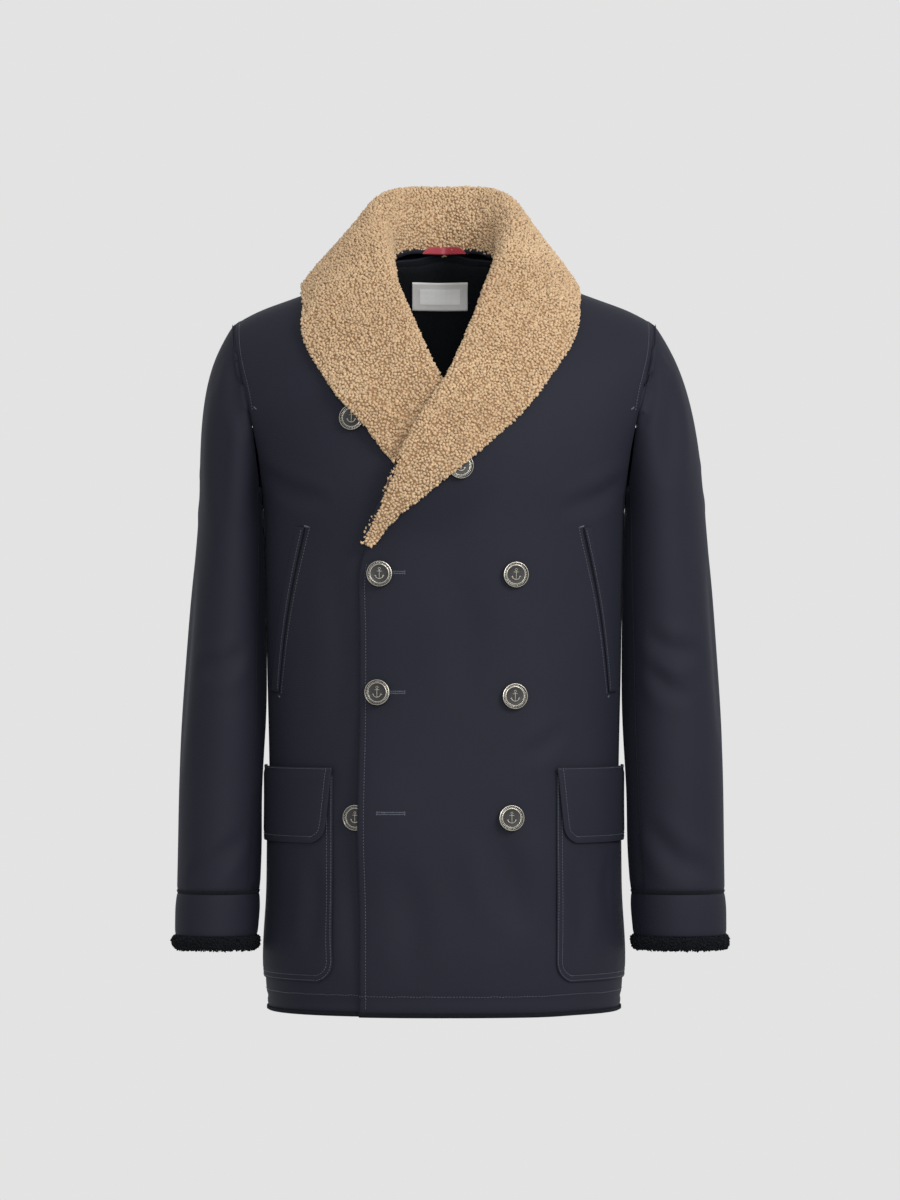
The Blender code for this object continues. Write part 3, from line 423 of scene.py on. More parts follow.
    def wrap(self, thickness, outer, inner):
        """Gives the surface its thickness, with the inner side in its own finish."""
        mesh = self.piece.data
        mesh.materials.clear()
        mesh.materials.append(outer)
        mesh.materials.append(inner)
        mesh.shade_smooth()
        solid = self.piece.modifiers.new("Thickness", "SOLIDIFY")
        solid.thickness = thickness
        solid.offset = -1.0
        solid.material_offset = 1
        solid.material_offset_rim = -1
        solid.use_even_offset = False


def nearest_in(points):
    """A tree that finds the nearest of these points."""
    tree = KDTree(len(points))
    for index, place in enumerate(points):
        tree.insert(Vector(place), index)
    tree.balance()
    return tree


def resampled(line, pitch):
    """Points at an even pitch along a line."""
    line = np.asarray(line, float)
    run = np.concatenate([[0], np.cumsum(np.linalg.norm(np.diff(line, axis=0), axis=1))])
    at = np.linspace(0, run[-1], max(int(round(run[-1] / pitch)), 1) + 1)
    return np.stack([np.interp(at, run, line[:, k]) for k in range(3)], axis=1)


def away_from(points, line):
    """Distance of each point from a line, and the share of the line's length where it is nearest."""
    dense = resampled(line, LINE_PITCH)
    tree = nearest_in(dense)
    found = [tree.find(Vector(p)) for p in points]
    return np.array([row[2] for row in found]), np.array([row[1] for row in found]) / (len(dense) - 1)


def rolled(shell, sides=None):
    """The cloth rolls in at its seams and edges."""
    heights = np.zeros(len(shell.points))
    for line in sides or shell.sides:
        far, _ = away_from(shell.points, shell.points[line])
        heights = np.minimum(heights, -SEAM_DIP * np.exp(-((far / SEAM_REACH) ** 2)))
    return heights


def groove(shell, line, depth, reach):
    """A soft channel where stitches draw the cloth down."""
    far, _ = away_from(shell.points, line)
    return -depth * np.exp(-((far / reach) ** 2))


def crease(shell, row):
    """One soft crease: a trough along a path with a low ridge on each side, dying out at its ends."""
    path = np.array(row["path"], float)
    turns = np.linspace(0, 1, len(path))
    fine = np.linspace(0, 1, CREASE["points"])
    path = np.stack([np.interp(fine, turns, path[:, k]) for k in range(3)], axis=1)
    for _ in range(CREASE["rounding"]):
        path[1:-1] = (path[:-2] + 2 * path[1:-1] + path[2:]) / 4
    far, share = away_from(shell.points, shell.snap(path))
    fade = np.sin(math.pi * np.clip(share, 0, 1)) ** 0.8
    width = row["width"] * (0.7 + 0.3 * fade)
    trough = np.exp(-((far / width) ** 2))
    ridge = np.exp(-(((far - CREASE["ridge_out"] * width) / width) ** 2))
    return CREASE["gain"] * row["depth"] * fade * (CREASE["ridge_height"] * ridge - trough)


def sewn(name, lines):
    """A row of stitches along each line: every stitch is one edge, which the tree makes into thread."""
    ends = []
    for line, shell in lines:
        at = resampled(line, STITCH["pitch"])
        way = np.gradient(at, axis=0)
        way /= np.linalg.norm(way, axis=1)[:, None]
        for place, along in zip(at, way):
            for sign in (-0.5, 0.5):
                found, out = shell.tree.find_nearest(Vector(place + along * sign * STITCH["length"]))[:2]
                ends.append(np.array(found + out * STITCH["lift"]))
    return threads(name, ends, STITCH["thread"], "navy_cloth", THREAD)


def threads(name, ends, thread, slot, finish):
    mesh = bpy.data.meshes.new(name)
    mesh.from_pydata([tuple(p) for p in ends], [(k, k + 1) for k in range(0, len(ends), 2)], [])
    made = new_piece(name, mesh)
    run_tree(made, stitch_tree(), {"Thread Radius": thread, "Thread": finish})
    return placed(made, slot)


def run_tree(piece, tree, values):
    """Runs a Geometry Nodes tree on a piece and keeps the result as a plain mesh."""
    maker = piece.modifiers.new("Maker", "NODES")
    maker.node_group = tree
    sockets = {item.name: item.identifier for item in tree.interface.items_tree if item.in_out == "INPUT"}
    for name, value in values.items():
        maker[sockets[name]] = value
    mesh = evaluated(piece)
    piece.modifiers.remove(maker)
    piece.data = mesh


def new_tree(name, inputs):
    """A Geometry Nodes tree that takes a mesh and these inputs, and gives a mesh."""
    tree = bpy.data.node_groups.new(name, "GeometryNodeTree")
    for word, kind in {"Geometry": "Geometry", **inputs}.items():
        tree.interface.new_socket(name=word, in_out="INPUT", socket_type=f"NodeSocket{kind}")
    tree.interface.new_socket(name="Geometry", in_out="OUTPUT", socket_type="NodeSocketGeometry")
    return tree


def stitch_tree():
    """Makes each edge of the mesh a stitch: a short thread, full in the middle and sunk at both ends."""
    if "stitches" in bpy.data.node_groups:
        return bpy.data.node_groups["stitches"]
    tree = new_tree("stitches", {"Thread Radius": "Float", "Thread": "Material"})
    given = add(tree, "NodeGroupInput").outputs
    ends = add(tree, "GeometryNodeInputMeshEdgeVertices").outputs
    span = add(
        tree,
        "ShaderNodeVectorMath",
        {0: ends["Position 2"], 1: ends["Position 1"]},
        operation="SUBTRACT",
    )
    kept = add(tree, "GeometryNodeCaptureAttribute", {"Geometry": given["Geometry"]}, domain="EDGE")
    kept.capture_items.new("VECTOR", "Span")
    tree.links.new(span.outputs["Vector"], kept.inputs["Span"])
    middles = add(tree, "GeometryNodeMeshToPoints", {"Mesh": kept.outputs["Geometry"]}, mode="EDGES")
    turned = add(tree, "FunctionNodeAlignRotationToVector", {"Vector": kept.outputs["Span"]}, axis="Z")
    length = add(tree, "ShaderNodeVectorMath", {0: kept.outputs["Span"]}, operation="LENGTH")
    half = add(tree, "ShaderNodeMath", {0: length.outputs["Value"], 1: 0.5}, operation="MULTIPLY")
    size = add(
        tree,
        "ShaderNodeCombineXYZ",
        {"X": given["Thread Radius"], "Y": given["Thread Radius"], "Z": half.outputs["Value"]},
    )
    grain = add(tree, "GeometryNodeMeshUVSphere", {"Segments": 4, "Rings": 4, "Radius": 1.0})
    laid = add(
        tree,
        "GeometryNodeInstanceOnPoints",
        {
            "Points": middles.outputs["Points"],
            "Instance": grain.outputs["Mesh"],
            "Rotation": turned.outputs["Rotation"],
            "Scale": size.outputs["Vector"],
        },
    )
    real = add(tree, "GeometryNodeRealizeInstances", {"Geometry": laid.outputs["Instances"]})
    smooth = add(tree, "GeometryNodeSetShadeSmooth", {"Geometry": real.outputs["Geometry"]})
    dyed = add(
        tree,
        "GeometryNodeSetMaterial",
        {"Geometry": smooth.outputs["Geometry"], "Material": given["Thread"]},
    )
    add(tree, "NodeGroupOutput", {"Geometry": dyed.outputs["Geometry"]})
    return tree


def placed(piece, slot, *nodes):
    """Fixes a finished piece to the coat."""
    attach(piece, "root")
    if nodes:
        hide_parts(*nodes)
    return piece


BACK_CREASES = [  # a worn back: drag lines under the armholes and shallow folds down to the hem
    {"path": [(-0.165, 0.10, -0.285), (-0.120, 0.14, -0.315), (-0.075, 0.15, -0.330)],
     "width": 0.011, "depth": 0.0028},
    {"path": [(0.160, 0.10, -0.300), (0.110, 0.14, -0.322), (0.060, 0.15, -0.352)],
     "width": 0.012, "depth": 0.0024},
    {"path": [(-0.070, 0.15, -0.420), (-0.078, 0.15, -0.560), (-0.066, 0.15, -0.700)],
     "width": 0.019, "depth": 0.0034},
    {"path": [(0.088, 0.15, -0.470), (0.096, 0.15, -0.600), (0.090, 0.15, -0.740)],
     "width": 0.021, "depth": 0.0031},
    {"path": [(-0.060, 0.14, -0.045), (0.000, 0.14, -0.060), (0.055, 0.14, -0.047)],
     "width": 0.010, "depth": 0.0016},
    {"path": [(0.010, 0.15, -0.500), (0.016, 0.15, -0.610), (0.010, 0.15, -0.690)],
     "width": 0.017, "depth": 0.0018},
]
back = Shell("back_panel", "back", TRUNK, 2)
back_hem = back.side(0.0, 0.13, -0.80)
hem_seam = back.inset(back_hem, HEM_SEAM)
heights = rolled(back) + groove(back, hem_seam, HEM_GROOVE, HEM_REACH)
heights += sum(crease(back, row) for row in BACK_CREASES)
back.push(heights)
back.wrap(CLOTH, NAVY, BLACK)
placed(back.piece, "navy_cloth", "back")
back_sewing = sewn("back_stitches", [(back.inset(back_hem, HEM_ROW), back)])


# Fronts
# Two pieces of the same navy cloth. The wearer's left one laps over the right one, and both have a row of
# stitches along the front edge and the armhole. The hem is turned up and stitched like the back's.
SIDES = {"left": 1, "right": -1}
EDGE_ROW = 0.0068  # from the edge to the row of stitches beside it
ARM_ROW = 0.0062
ROW_GROOVE = 0.0005
ROW_REACH = 0.0028
LAPEL_FOOT_Z = -0.330  # the row along the front edge stops where the collar starts
ARM_ROW_END_Z = -0.168
FRONT_CREASES = {
    "left": [
        {"path": [(0.052, -0.16, -0.600), (0.070, -0.16, -0.655), (0.084, -0.16, -0.712)],
         "width": 0.018, "depth": 0.0030},
        {"path": [(-0.045, -0.16, -0.640), (-0.032, -0.16, -0.700), (-0.036, -0.16, -0.760)],
         "width": 0.016, "depth": 0.0014},
        {"path": [(0.196, -0.05, -0.235), (0.165, -0.10, -0.262), (0.125, -0.14, -0.275)],
         "width": 0.010, "depth": 0.0020},
        {"path": [(0.128, -0.12, -0.500), (0.108, -0.15, -0.520), (0.080, -0.16, -0.528)],
         "width": 0.009, "depth": 0.0012},
        {"path": [(0.010, -0.16, -0.330), (0.030, -0.16, -0.400), (0.022, -0.16, -0.480)],
         "width": 0.020, "depth": 0.0013},
    ],
    "right": [
        {"path": [(-0.196, -0.05, -0.225), (-0.160, -0.10, -0.255), (-0.120, -0.14, -0.268)],
         "width": 0.010, "depth": 0.0018},
        {"path": [(-0.120, -0.14, -0.330), (-0.112, -0.15, -0.420), (-0.124, -0.15, -0.500)],
         "width": 0.015, "depth": 0.0014},
        {"path": [(-0.095, -0.16, -0.640), (-0.100, -0.16, -0.700), (-0.094, -0.16, -0.765)],
         "width": 0.012, "depth": 0.0014},
    ],
}
FRONT_SIDES = {  # a place near the middle of each, on the wearer's left half
    "edge": (-0.087, -0.15, -0.43),
    "hem": (0.06, -0.15, -0.80),
    "flank": (0.205, -0.01, -0.33),
}
ROW_ENDS = {"edge_foot": -0.792, "arm_top": -0.034}


def mirrored(place, side):
    """A place on the wearer's left half, or its mirror image."""
    return side * place[0], place[1], place[2]


def between(line, low, high):
    """The stretch of a line between two heights."""
    return line[(line[:, 2] >= low) & (line[:, 2] <= high)]


fronts = {}
for word, side in SIDES.items():
    front = fronts[word] = Shell(f"front_panel_{word}", f"front_{word}", TRUNK, 3)
    edge, hem, flank = (front.side(*mirrored(place, side)) for place in FRONT_SIDES.values())
    hem_seam = front.inset(hem, HEM_SEAM)
    edge_row = between(front.inset(edge, EDGE_ROW), ROW_ENDS["edge_foot"], LAPEL_FOOT_Z)
    arm_row = between(front.inset(flank, ARM_ROW), ARM_ROW_END_Z, ROW_ENDS["arm_top"])
    heights = rolled(front) + groove(front, hem_seam, HEM_GROOVE, HEM_REACH)
    for line in (edge_row, arm_row):
        heights += groove(front, line, ROW_GROOVE, ROW_REACH)
    heights += sum(crease(front, row) for row in FRONT_CREASES[word])
    front.push(heights)
    front.meet(back)
    front.wrap(CLOTH, NAVY, BLACK)
    placed(front.piece, "navy_cloth", f"front_{word}")
    hem_row = front.inset(hem, HEM_ROW)
    sewing = sewn(f"front_stitches_{word}", [(edge_row, front), (arm_row, front), (hem_row, front)])


# Chest pocket welts
# A slanting pocket on each side of the chest. The welt is a folded strip of the shell cloth, stitched
# down along its outer side; on the other side of the mouth the pocket bag is caught by a second row.
WELT_ROW = 0.0020
MOUTH_ROW = 0.0088  # from the mouth to the row in front of it
WELT_CLOTH = 0.0016
WELT_ROLL = 0.4  # the share of the usual roll at the edges of the welt
WELT_ROW_CUT = 0.003
MOUTH_SHIFT = 0.0012  # from the welt to the middle of the mouth
MOUTH = {"width": 0.0022, "pitch": 0.004, "top": 1.12, "least": 0.15, "tip": 0.03}
MOUTH_STRIP = ((-1, 0.00005), (-1, 0.0004), (1, 0.0004), (1, 0.00005))  # side and height of its corners
BAR_TACK = 0.0075
TACK_WIDTH = 0.0019
TACK_THREAD = 0.0003
TACK_LIFT = 0.0002
TACK_TOP = {"x": 0.0035, "z": 0.001}  # from the ends of the mouth to the middles of their tacks
TACK_FOOT = {"x": 0.001, "z": -0.0045}
WELT_SIDES = {"mouth": (0.160, -0.13, -0.378), "outer": (0.172, -0.12, -0.378)}
TACK_PITCH = 0.0006
ARM_TACK = (0.2005, -0.075, -0.167)  # where the row beside the armhole ends


def bar_tack(shell, middle, along, length):
    """Close stitches laid side by side across a bar."""
    along = np.array(along, float) / np.linalg.norm(along)
    across = np.array([-along[2], 0.0, along[0]])
    ends = []
    for step in np.arange(-length / 2, length / 2, TACK_PITCH):
        for sign in (-0.5, 0.5):
            place = np.array(middle) + along * step + across * sign * TACK_WIDTH
            found, out = shell.tree.find_nearest(Vector(place))[:2]
            ends.append(np.array(found + out * TACK_LIFT))
    return ends


def mouth_shade_strip(name, line, shell):
    """The mouth as painted shade: a thin black strip laid on the cloth where the gap is, standing for the
    shade in the gap and the black pocket bag behind it. It narrows to nothing at its ends.
    """
    line = resampled(line, MOUTH["pitch"])
    share = np.linspace(0, 1, len(line))
    width = MOUTH["width"] * np.clip(MOUTH["top"] - share, MOUTH["least"], 1)
    width = width * np.clip(np.minimum(share, 1 - share) / MOUTH["tip"], 0, 1)
    way = np.gradient(line, axis=0)
    way /= np.linalg.norm(way, axis=1)[:, None]
    rows = []
    for place, along, half in zip(line, way, width / 2):
        out = np.array(shell.tree.find_nearest(Vector(place))[1])
        across = np.cross(out, along)
        for step, rise in MOUTH_STRIP:
            rows.append(place + across * step * half + out * rise)
    faces = [
        (4 * k + j, 4 * k + (j + 1) % 4, 4 * k + 4 + (j + 1) % 4, 4 * k + 4 + j)
        for k in range(len(line) - 1)
        for j in range(4)
    ]
    faces += [(3, 2, 1, 0), tuple(4 * (len(line) - 1) + j for j in range(4))]
    return new_piece(name, closed_mesh(name, rows, faces), BLACK)


for word, side in SIDES.items():
    front = fronts[word]
    welt = Shell(f"welt_{word}", f"pocket_welt_{word}", TRUNK, 3)
    mouth, outer = (welt.side(*mirrored(place, side)) for place in WELT_SIDES.values())
    welt_row = welt.inset(outer, WELT_ROW, ends=(WELT_ROW_CUT, WELT_ROW_CUT))
    mouth_line = welt.points[mouth]
    if mouth_line[0, 2] < mouth_line[-1, 2]:
        mouth_line = mouth_line[::-1]
    welt.push(rolled(welt) * WELT_ROLL)
    welt.wrap(WELT_CLOTH, NAVY, NAVY)
    placed(welt.piece, "navy_cloth", f"pocket_welt_{word}")
    # The black strip on the front is the mouth's painted shade, with the black pocket bag seen through the
    # gap.
    gap = front.snap(mouth_line + np.array([-side * MOUTH_SHIFT, 0, 0]))
    placed(mouth_shade_strip(f"pocket_mouth_shade_{word}", gap, front), "black_pile")
    before = front.snap(mouth_line + np.array([-side * MOUTH_ROW, 0.0, 0.0]))
    sewing = sewn(f"welt_stitches_{word}", [(welt_row, welt), (before, front)])
    top = mouth_line[0] + [-side * TACK_TOP["x"], 0, TACK_TOP["z"]]
    foot = mouth_line[-1] + [side * TACK_FOOT["x"], 0, TACK_FOOT["z"]]
    tacks = bar_tack(front, top, (1, 0, 0.1 * side), BAR_TACK)
    tacks += bar_tack(front, mirrored(ARM_TACK, side), (1, 0, 0.3 * side), BAR_TACK)
    tacks += bar_tack(front, foot, (1, 0, 0.1 * side), BAR_TACK)
    threads(f"welt_tacks_{word}", tacks, TACK_THREAD, "navy_cloth", THREAD)


# Patch pockets
# A large patch of the shell cloth on each side, with a rounded lower corner. It reaches round to the
# side seam and is sewn down with two rows of stitches, one close to its edge.
POCKET_CLOTH = 0.0018
POCKET_ROWS = (0.0016, 0.0066)
POCKET_ROW_CUT = 0.004  # the rows stop this far before the side seam
PATCH_ROLL = 0.9  # the share of the usual roll at the edges of a patch or a flap
POCKET_SIDES = {"low": (0.165, -0.12, -0.764), "front": (0.115, -0.15, -0.65)}
POCKET_CREASES = {
    "left": [
        {"path": [(0.150, -0.14, -0.640), (0.158, -0.13, -0.690), (0.152, -0.13, -0.735)],
         "width": 0.012, "depth": 0.0014},
        {"path": [(0.185, -0.08, -0.635), (0.180, -0.09, -0.670), (0.186, -0.08, -0.705)],
         "width": 0.009, "depth": 0.0012},
    ],
    "right": [
        {"path": [(-0.152, -0.14, -0.635), (-0.146, -0.14, -0.680), (-0.152, -0.13, -0.740)],
         "width": 0.012, "depth": 0.0014},
    ],
}
for word, side in SIDES.items():
    pocket = Shell(f"patch_pocket_{word}", f"pocket_{word}", TRUNK, 3, passes=0)
    pocket.lie_on(fronts[word])
    low, front_side = (pocket.side(*mirrored(place, side)) for place in POCKET_SIDES.values())
    rows = []
    for depth in POCKET_ROWS:
        rows.append(pocket.inset(front_side, depth))
        rows.append(pocket.inset(low, depth, ends=(0.0, POCKET_ROW_CUT)))
    heights = rolled(pocket, [low, front_side]) * PATCH_ROLL
    for line in rows[2:]:
        heights += groove(pocket, line, ROW_GROOVE, ROW_REACH)
    heights += sum(crease(pocket, row) for row in POCKET_CREASES[word])
    pocket.push(heights)
    pocket.wrap(POCKET_CLOTH, NAVY, NAVY)
    placed(pocket.piece, "navy_cloth", f"pocket_{word}")
    sewing = sewn(f"pocket_stitches_{word}", [(line, pocket) for line in rows])


# Pocket flaps
# A flap of two layers of the shell cloth hangs over each patch pocket's mouth. It is stitched down along
# its top and has a row of stitches inside its free edge.
FLAP_TOP_ROW = 0.0036
FLAP_ROW = 0.0066
FLAP_TOP_GROOVE = {"depth": 0.0009, "reach": 0.0022}
FLAP_TOP_SHIFT = 0.0022  # from the middle of that groove up to the stitches
FLAP_SIDES = {
    "top": (0.165, -0.12, -0.5415),
    "low": (0.170, -0.12, -0.620),
    "front": (0.118, -0.15, -0.58),
}
for word, side in SIDES.items():
    flap = Shell(f"flap_{word}", f"pocket_flap_{word}", TRUNK, 3, passes=0)
    flap.lie_on(fronts[word])
    top, low, front_side = (flap.side(*mirrored(place, side)) for place in FLAP_SIDES.values())
    top_row = flap.inset(top, FLAP_TOP_ROW)
    rows = [flap.inset(front_side, FLAP_ROW), flap.inset(low, FLAP_ROW)]
    heights = rolled(flap, [low, front_side, top]) * PATCH_ROLL + groove(flap, top_row, **FLAP_TOP_GROOVE)
    for line in rows:
        heights += groove(flap, line, ROW_GROOVE, ROW_REACH)
    flap.push(heights)
    flap.wrap(POCKET_CLOTH, NAVY, NAVY)
    placed(flap.piece, "navy_cloth", f"pocket_flap_{word}")
    rows.append(flap.snap(top_row + [0, 0, FLAP_TOP_SHIFT]))
    sewing = sewn(f"flap_stitches_{word}", [(line, flap) for line in rows])


# Sleeves
# Two-piece sleeves, an upper and an under piece of the shell cloth joined by a seam at the front and one
# at the back of the arm. They hang nearly straight, with soft folds at the head, the elbow and the cuff.
ARM = 0.235  # x of the middle of the sleeve
SLEEVE_CREASES = {
    "left": [
        {"path": [(0.228, -0.05, -0.085), (0.222, -0.07, -0.135), (0.204, -0.08, -0.188)],
         "width": 0.009, "depth": 0.0030},
        {"path": [(0.250, -0.06, -0.100), (0.252, -0.07, -0.170), (0.240, -0.08, -0.250)],
         "width": 0.013, "depth": 0.0022},
        {"path": [(0.205, -0.07, -0.400), (0.235, -0.07, -0.420), (0.268, -0.05, -0.424)],
         "width": 0.010, "depth": 0.0022},
        {"path": [(0.208, -0.07, -0.436), (0.232, -0.08, -0.458), (0.258, -0.06, -0.470)],
         "width": 0.009, "depth": 0.0018},
        {"path": [(0.212, -0.07, -0.600), (0.244, -0.08, -0.640), (0.280, -0.06, -0.655)],
         "width": 0.011, "depth": 0.0022},
        {"path": [(0.268, 0.03, -0.380), (0.245, 0.06, -0.405), (0.215, 0.07, -0.408)],
         "width": 0.011, "depth": 0.0030},
        {"path": [(0.280, 0.02, -0.432), (0.250, 0.06, -0.446), (0.222, 0.06, -0.470)],
         "width": 0.010, "depth": 0.0026},
        {"path": [(0.288, 0.00, -0.240), (0.275, 0.05, -0.250), (0.245, 0.08, -0.285)],
         "width": 0.012, "depth": 0.0024},
        {"path": [(0.290, -0.02, -0.320), (0.292, -0.02, -0.420), (0.294, -0.03, -0.520)],
         "width": 0.016, "depth": 0.0016},
    ],
    "right": [
        {"path": [(-0.226, -0.05, -0.095), (-0.222, -0.07, -0.150), (-0.206, -0.08, -0.200)],
         "width": 0.010, "depth": 0.0020},
        {"path": [(-0.240, -0.06, -0.130), (-0.246, -0.07, -0.210), (-0.240, -0.07, -0.290)],
         "width": 0.014, "depth": 0.0016},
        {"path": [(-0.202, -0.07, -0.415), (-0.230, -0.07, -0.436), (-0.258, -0.05, -0.440)],
         "width": 0.010, "depth": 0.0020},
        {"path": [(-0.208, -0.07, -0.612), (-0.238, -0.08, -0.640), (-0.262, -0.06, -0.662)],
         "width": 0.010, "depth": 0.0018},
        {"path": [(-0.262, 0.03, -0.392), (-0.240, 0.06, -0.418), (-0.212, 0.07, -0.420)],
         "width": 0.011, "depth": 0.0028},
        {"path": [(-0.268, 0.02, -0.446), (-0.244, 0.06, -0.458), (-0.220, 0.06, -0.480)],
         "width": 0.009, "depth": 0.0024},
        {"path": [(-0.276, 0.00, -0.250), (-0.262, 0.05, -0.262), (-0.236, 0.08, -0.292)],
         "width": 0.012, "depth": 0.0022},
        {"path": [(-0.272, -0.02, -0.330), (-0.276, -0.02, -0.430), (-0.280, -0.03, -0.560)],
         "width": 0.016, "depth": 0.0016},
    ],
}
CREASE_NEAR = 0.035  # a crease is pressed into the sleeve pieces that lie this close to its middle
SLEEVE_CUTS = {
    "upper": {"width": 0.24, "length": 0.64, "area": 0.13, "levels": 3},
    "under": {"width": 0.12, "length": 0.45, "area": 0.053, "levels": 2},
}
sleeves = {}
for word, side in SIDES.items():
    for part, cut in SLEEVE_CUTS.items():
        name = f"sleeve_{word}_{part}"
        sleeve = Shell(f"{part}_sleeve_{word}", name, (side * ARM, 0.0), cut["levels"], passes=1)
        sleeves[name] = sleeve
        heights = rolled(sleeve)
        for row in SLEEVE_CREASES[word]:
            if sleeve.tree.find_nearest(Vector(row["path"][1]))[3] < CREASE_NEAR:
                heights += crease(sleeve, row)
        sleeve.push(heights)
        sewn_to = [sleeves[f"sleeve_{word}_upper"]] if part == "under" else []
        sleeve.meet(fronts[word], back, *sewn_to)
        sleeve.wrap(CLOTH, NAVY, NAVY)
        placed(sleeve.piece, "navy_cloth", name)


# Cuffs
# A band of the shell cloth turned up at the wrist. Two rows of stitches run round it below its seam.
CUFF_ROWS = (0.0022, 0.0090)
WRIST = {"x": 0.245, "y": -0.035}  # the middle of the cuff
for word, side in SIDES.items():
    cuff = Shell(f"cuff_band_{word}", f"cuff_{word}", (side * WRIST["x"], WRIST["y"]), 3)
    top = max(cuff.sides, key=lambda line: cuff.points[line, 2].mean())
    rows = [cuff.inset(top, depth) for depth in CUFF_ROWS]
    heights = rolled(cuff)
    for line in rows:
        heights += groove(cuff, line, ROW_GROOVE, ROW_REACH)
    cuff.push(heights)
    cuff.meet(sleeves[f"sleeve_{word}_upper"], sleeves[f"sleeve_{word}_under"])
    cuff.wrap(CLOTH, NAVY, BLACK)
    placed(cuff.piece, "navy_cloth", f"cuff_{word}")
    sewing = sewn(f"cuff_stitches_{word}", [(line, cuff) for line in rows])


# Cuff pile
# The sleeves are lined with black sheepskin pile, which rolls out a little under each cuff.
ROLL_LEVELS = 2
FUR_TOP_Z = -0.7206  # above this the tufts would be hidden in the cuff
FUR = {"Spacing": 0.0019, "Width": 0.0011, "Length": 0.0021, "Lift": 0.0006, "Tilt": 0.7, "Bend": 0.0011}
FUR_SEED = 11
MOST_TUFTS = 9e5  # per square metre, before those that stand too close are left out
BEND = {"scale": 420.0, "gain": 4.0}


def pile_tree():
    """Tufts of pile: points kept a spacing apart on a surface, each with a lump of wool that is bent."""
    if "pile" in bpy.data.node_groups:
        return bpy.data.node_groups["pile"]
    tree = new_tree("pile", {**dict.fromkeys(FUR, "Float"), "Seed": "Int", "Wool": "Material"})
    given = add(tree, "NodeGroupInput").outputs
    roots = add(
        tree,
        "GeometryNodeDistributePointsOnFaces",
        {
            "Mesh": given["Geometry"],
            "Distance Min": given["Spacing"],
            "Density Max": MOST_TUFTS,
            "Seed": given["Seed"],
        },
        distribute_method="POISSON",
    )
    rise = add(tree, "FunctionNodeRandomValue", {"Seed": 3}, data_type="FLOAT")
    high = add(tree, "ShaderNodeMath", {0: rise.outputs[1], 1: given["Lift"]}, operation="MULTIPLY")
    up = add(
        tree,
        "ShaderNodeVectorMath",
        {0: roots.outputs["Normal"], "Scale": high.outputs["Value"]},
        operation="SCALE",
    )
    lifted = add(
        tree,
        "GeometryNodeSetPosition",
        {"Geometry": roots.outputs["Points"], "Offset": up.outputs["Vector"]},
    )
    lean = add(
        tree,
        "FunctionNodeRandomValue",
        {0: (-1, -1, -3.14), 1: (1, 1, 3.14), "Seed": 5},
        data_type="FLOAT_VECTOR",
    )
    tilt = add(tree, "ShaderNodeCombineXYZ", {"X": given["Tilt"], "Y": given["Tilt"], "Z": 1.0})
    leaning = add(
        tree,
        "ShaderNodeVectorMath",
        {0: lean.outputs[0], 1: tilt.outputs["Vector"]},
        operation="MULTIPLY",
    )
    turned = add(
        tree,
        "FunctionNodeRotateRotation",
        {"Rotation": roots.outputs["Rotation"], "Rotate By": leaning.outputs["Vector"]},
        rotation_space="LOCAL",
    )
    stretch = add(
        tree,
        "FunctionNodeRandomValue",
        {0: (0.72, 0.72, 0.72), 1: (1.22, 1.22, 1.22), "Seed": 7},
        data_type="FLOAT_VECTOR",
    )
    size = add(
        tree,
        "ShaderNodeCombineXYZ",
        {"X": given["Width"], "Y": given["Width"], "Z": given["Length"]},
    )
    scale = add(
        tree,
        "ShaderNodeVectorMath",
        {0: stretch.outputs[0], 1: size.outputs["Vector"]},
        operation="MULTIPLY",
    )
    lump = add(tree, "GeometryNodeMeshIcoSphere", {"Radius": 1.0, "Subdivisions": 1})
    laid = add(
        tree,
        "GeometryNodeInstanceOnPoints",
        {
            "Points": lifted.outputs["Geometry"],
            "Instance": lump.outputs["Mesh"],
            "Rotation": turned.outputs["Rotation"],
            "Scale": scale.outputs["Vector"],
        },
    )
    real = add(tree, "GeometryNodeRealizeInstances", {"Geometry": laid.outputs["Instances"]})
    waves = add(tree, "ShaderNodeTexNoise", {"Scale": BEND["scale"], "Detail": 1.0})
    centred = add(
        tree,
        "ShaderNodeVectorMath",
        {0: waves.outputs["Color"], 1: (0.5, 0.5, 0.5)},
        operation="SUBTRACT",
    )
    reach = add(tree, "ShaderNodeMath", {0: given["Bend"], 1: BEND["gain"]}, operation="MULTIPLY")
    shift = add(
        tree,
        "ShaderNodeVectorMath",
        {0: centred.outputs["Vector"], "Scale": reach.outputs["Value"]},
        operation="SCALE",
    )
    bent = add(
        tree,
        "GeometryNodeSetPosition",
        {"Geometry": real.outputs["Geometry"], "Offset": shift.outputs["Vector"]},
    )
    smooth = add(tree, "GeometryNodeSetShadeSmooth", {"Geometry": bent.outputs["Geometry"]})
    dyed = add(
        tree,
        "GeometryNodeSetMaterial",
        {"Geometry": smooth.outputs["Geometry"], "Material": given["Wool"]},
    )
    add(tree, "NodeGroupOutput", {"Geometry": dyed.outputs["Geometry"]})
    return tree


def wool_on(name, surface, sizes, seed, wool, slot):
    """Pile grown on a surface."""
    made = new_piece(name, surface)
    run_tree(made, pile_tree(), {**sizes, "Seed": seed, "Wool": wool})
    return placed(made, slot)


for word, side in SIDES.items():
    whole = quads_of(f"cuff_pile_{word}")
    ring = bpy.data.meshes.new("cuff_roll")
    whole.to_mesh(ring)
    whole.free()
    roll = new_piece(f"cuff_roll_{word}", ring, BLACK)
    smooth = roll.modifiers.new("Smooth", "SUBSURF")
    smooth.levels = smooth.render_levels = ROLL_LEVELS
    roll.data = evaluated(roll)
    roll.modifiers.clear()
    roll.data.shade_smooth()
    skin = roll.data.copy()
    placed(roll, "black_pile", f"cuff_pile_{word}")
    cut_away(skin, lambda face: face.calc_center_median().z > FUR_TOP_Z)
    wool_on(f"cuff_fur_{word}", skin, FUR, FUR_SEED + side, BLACK, "black_pile")


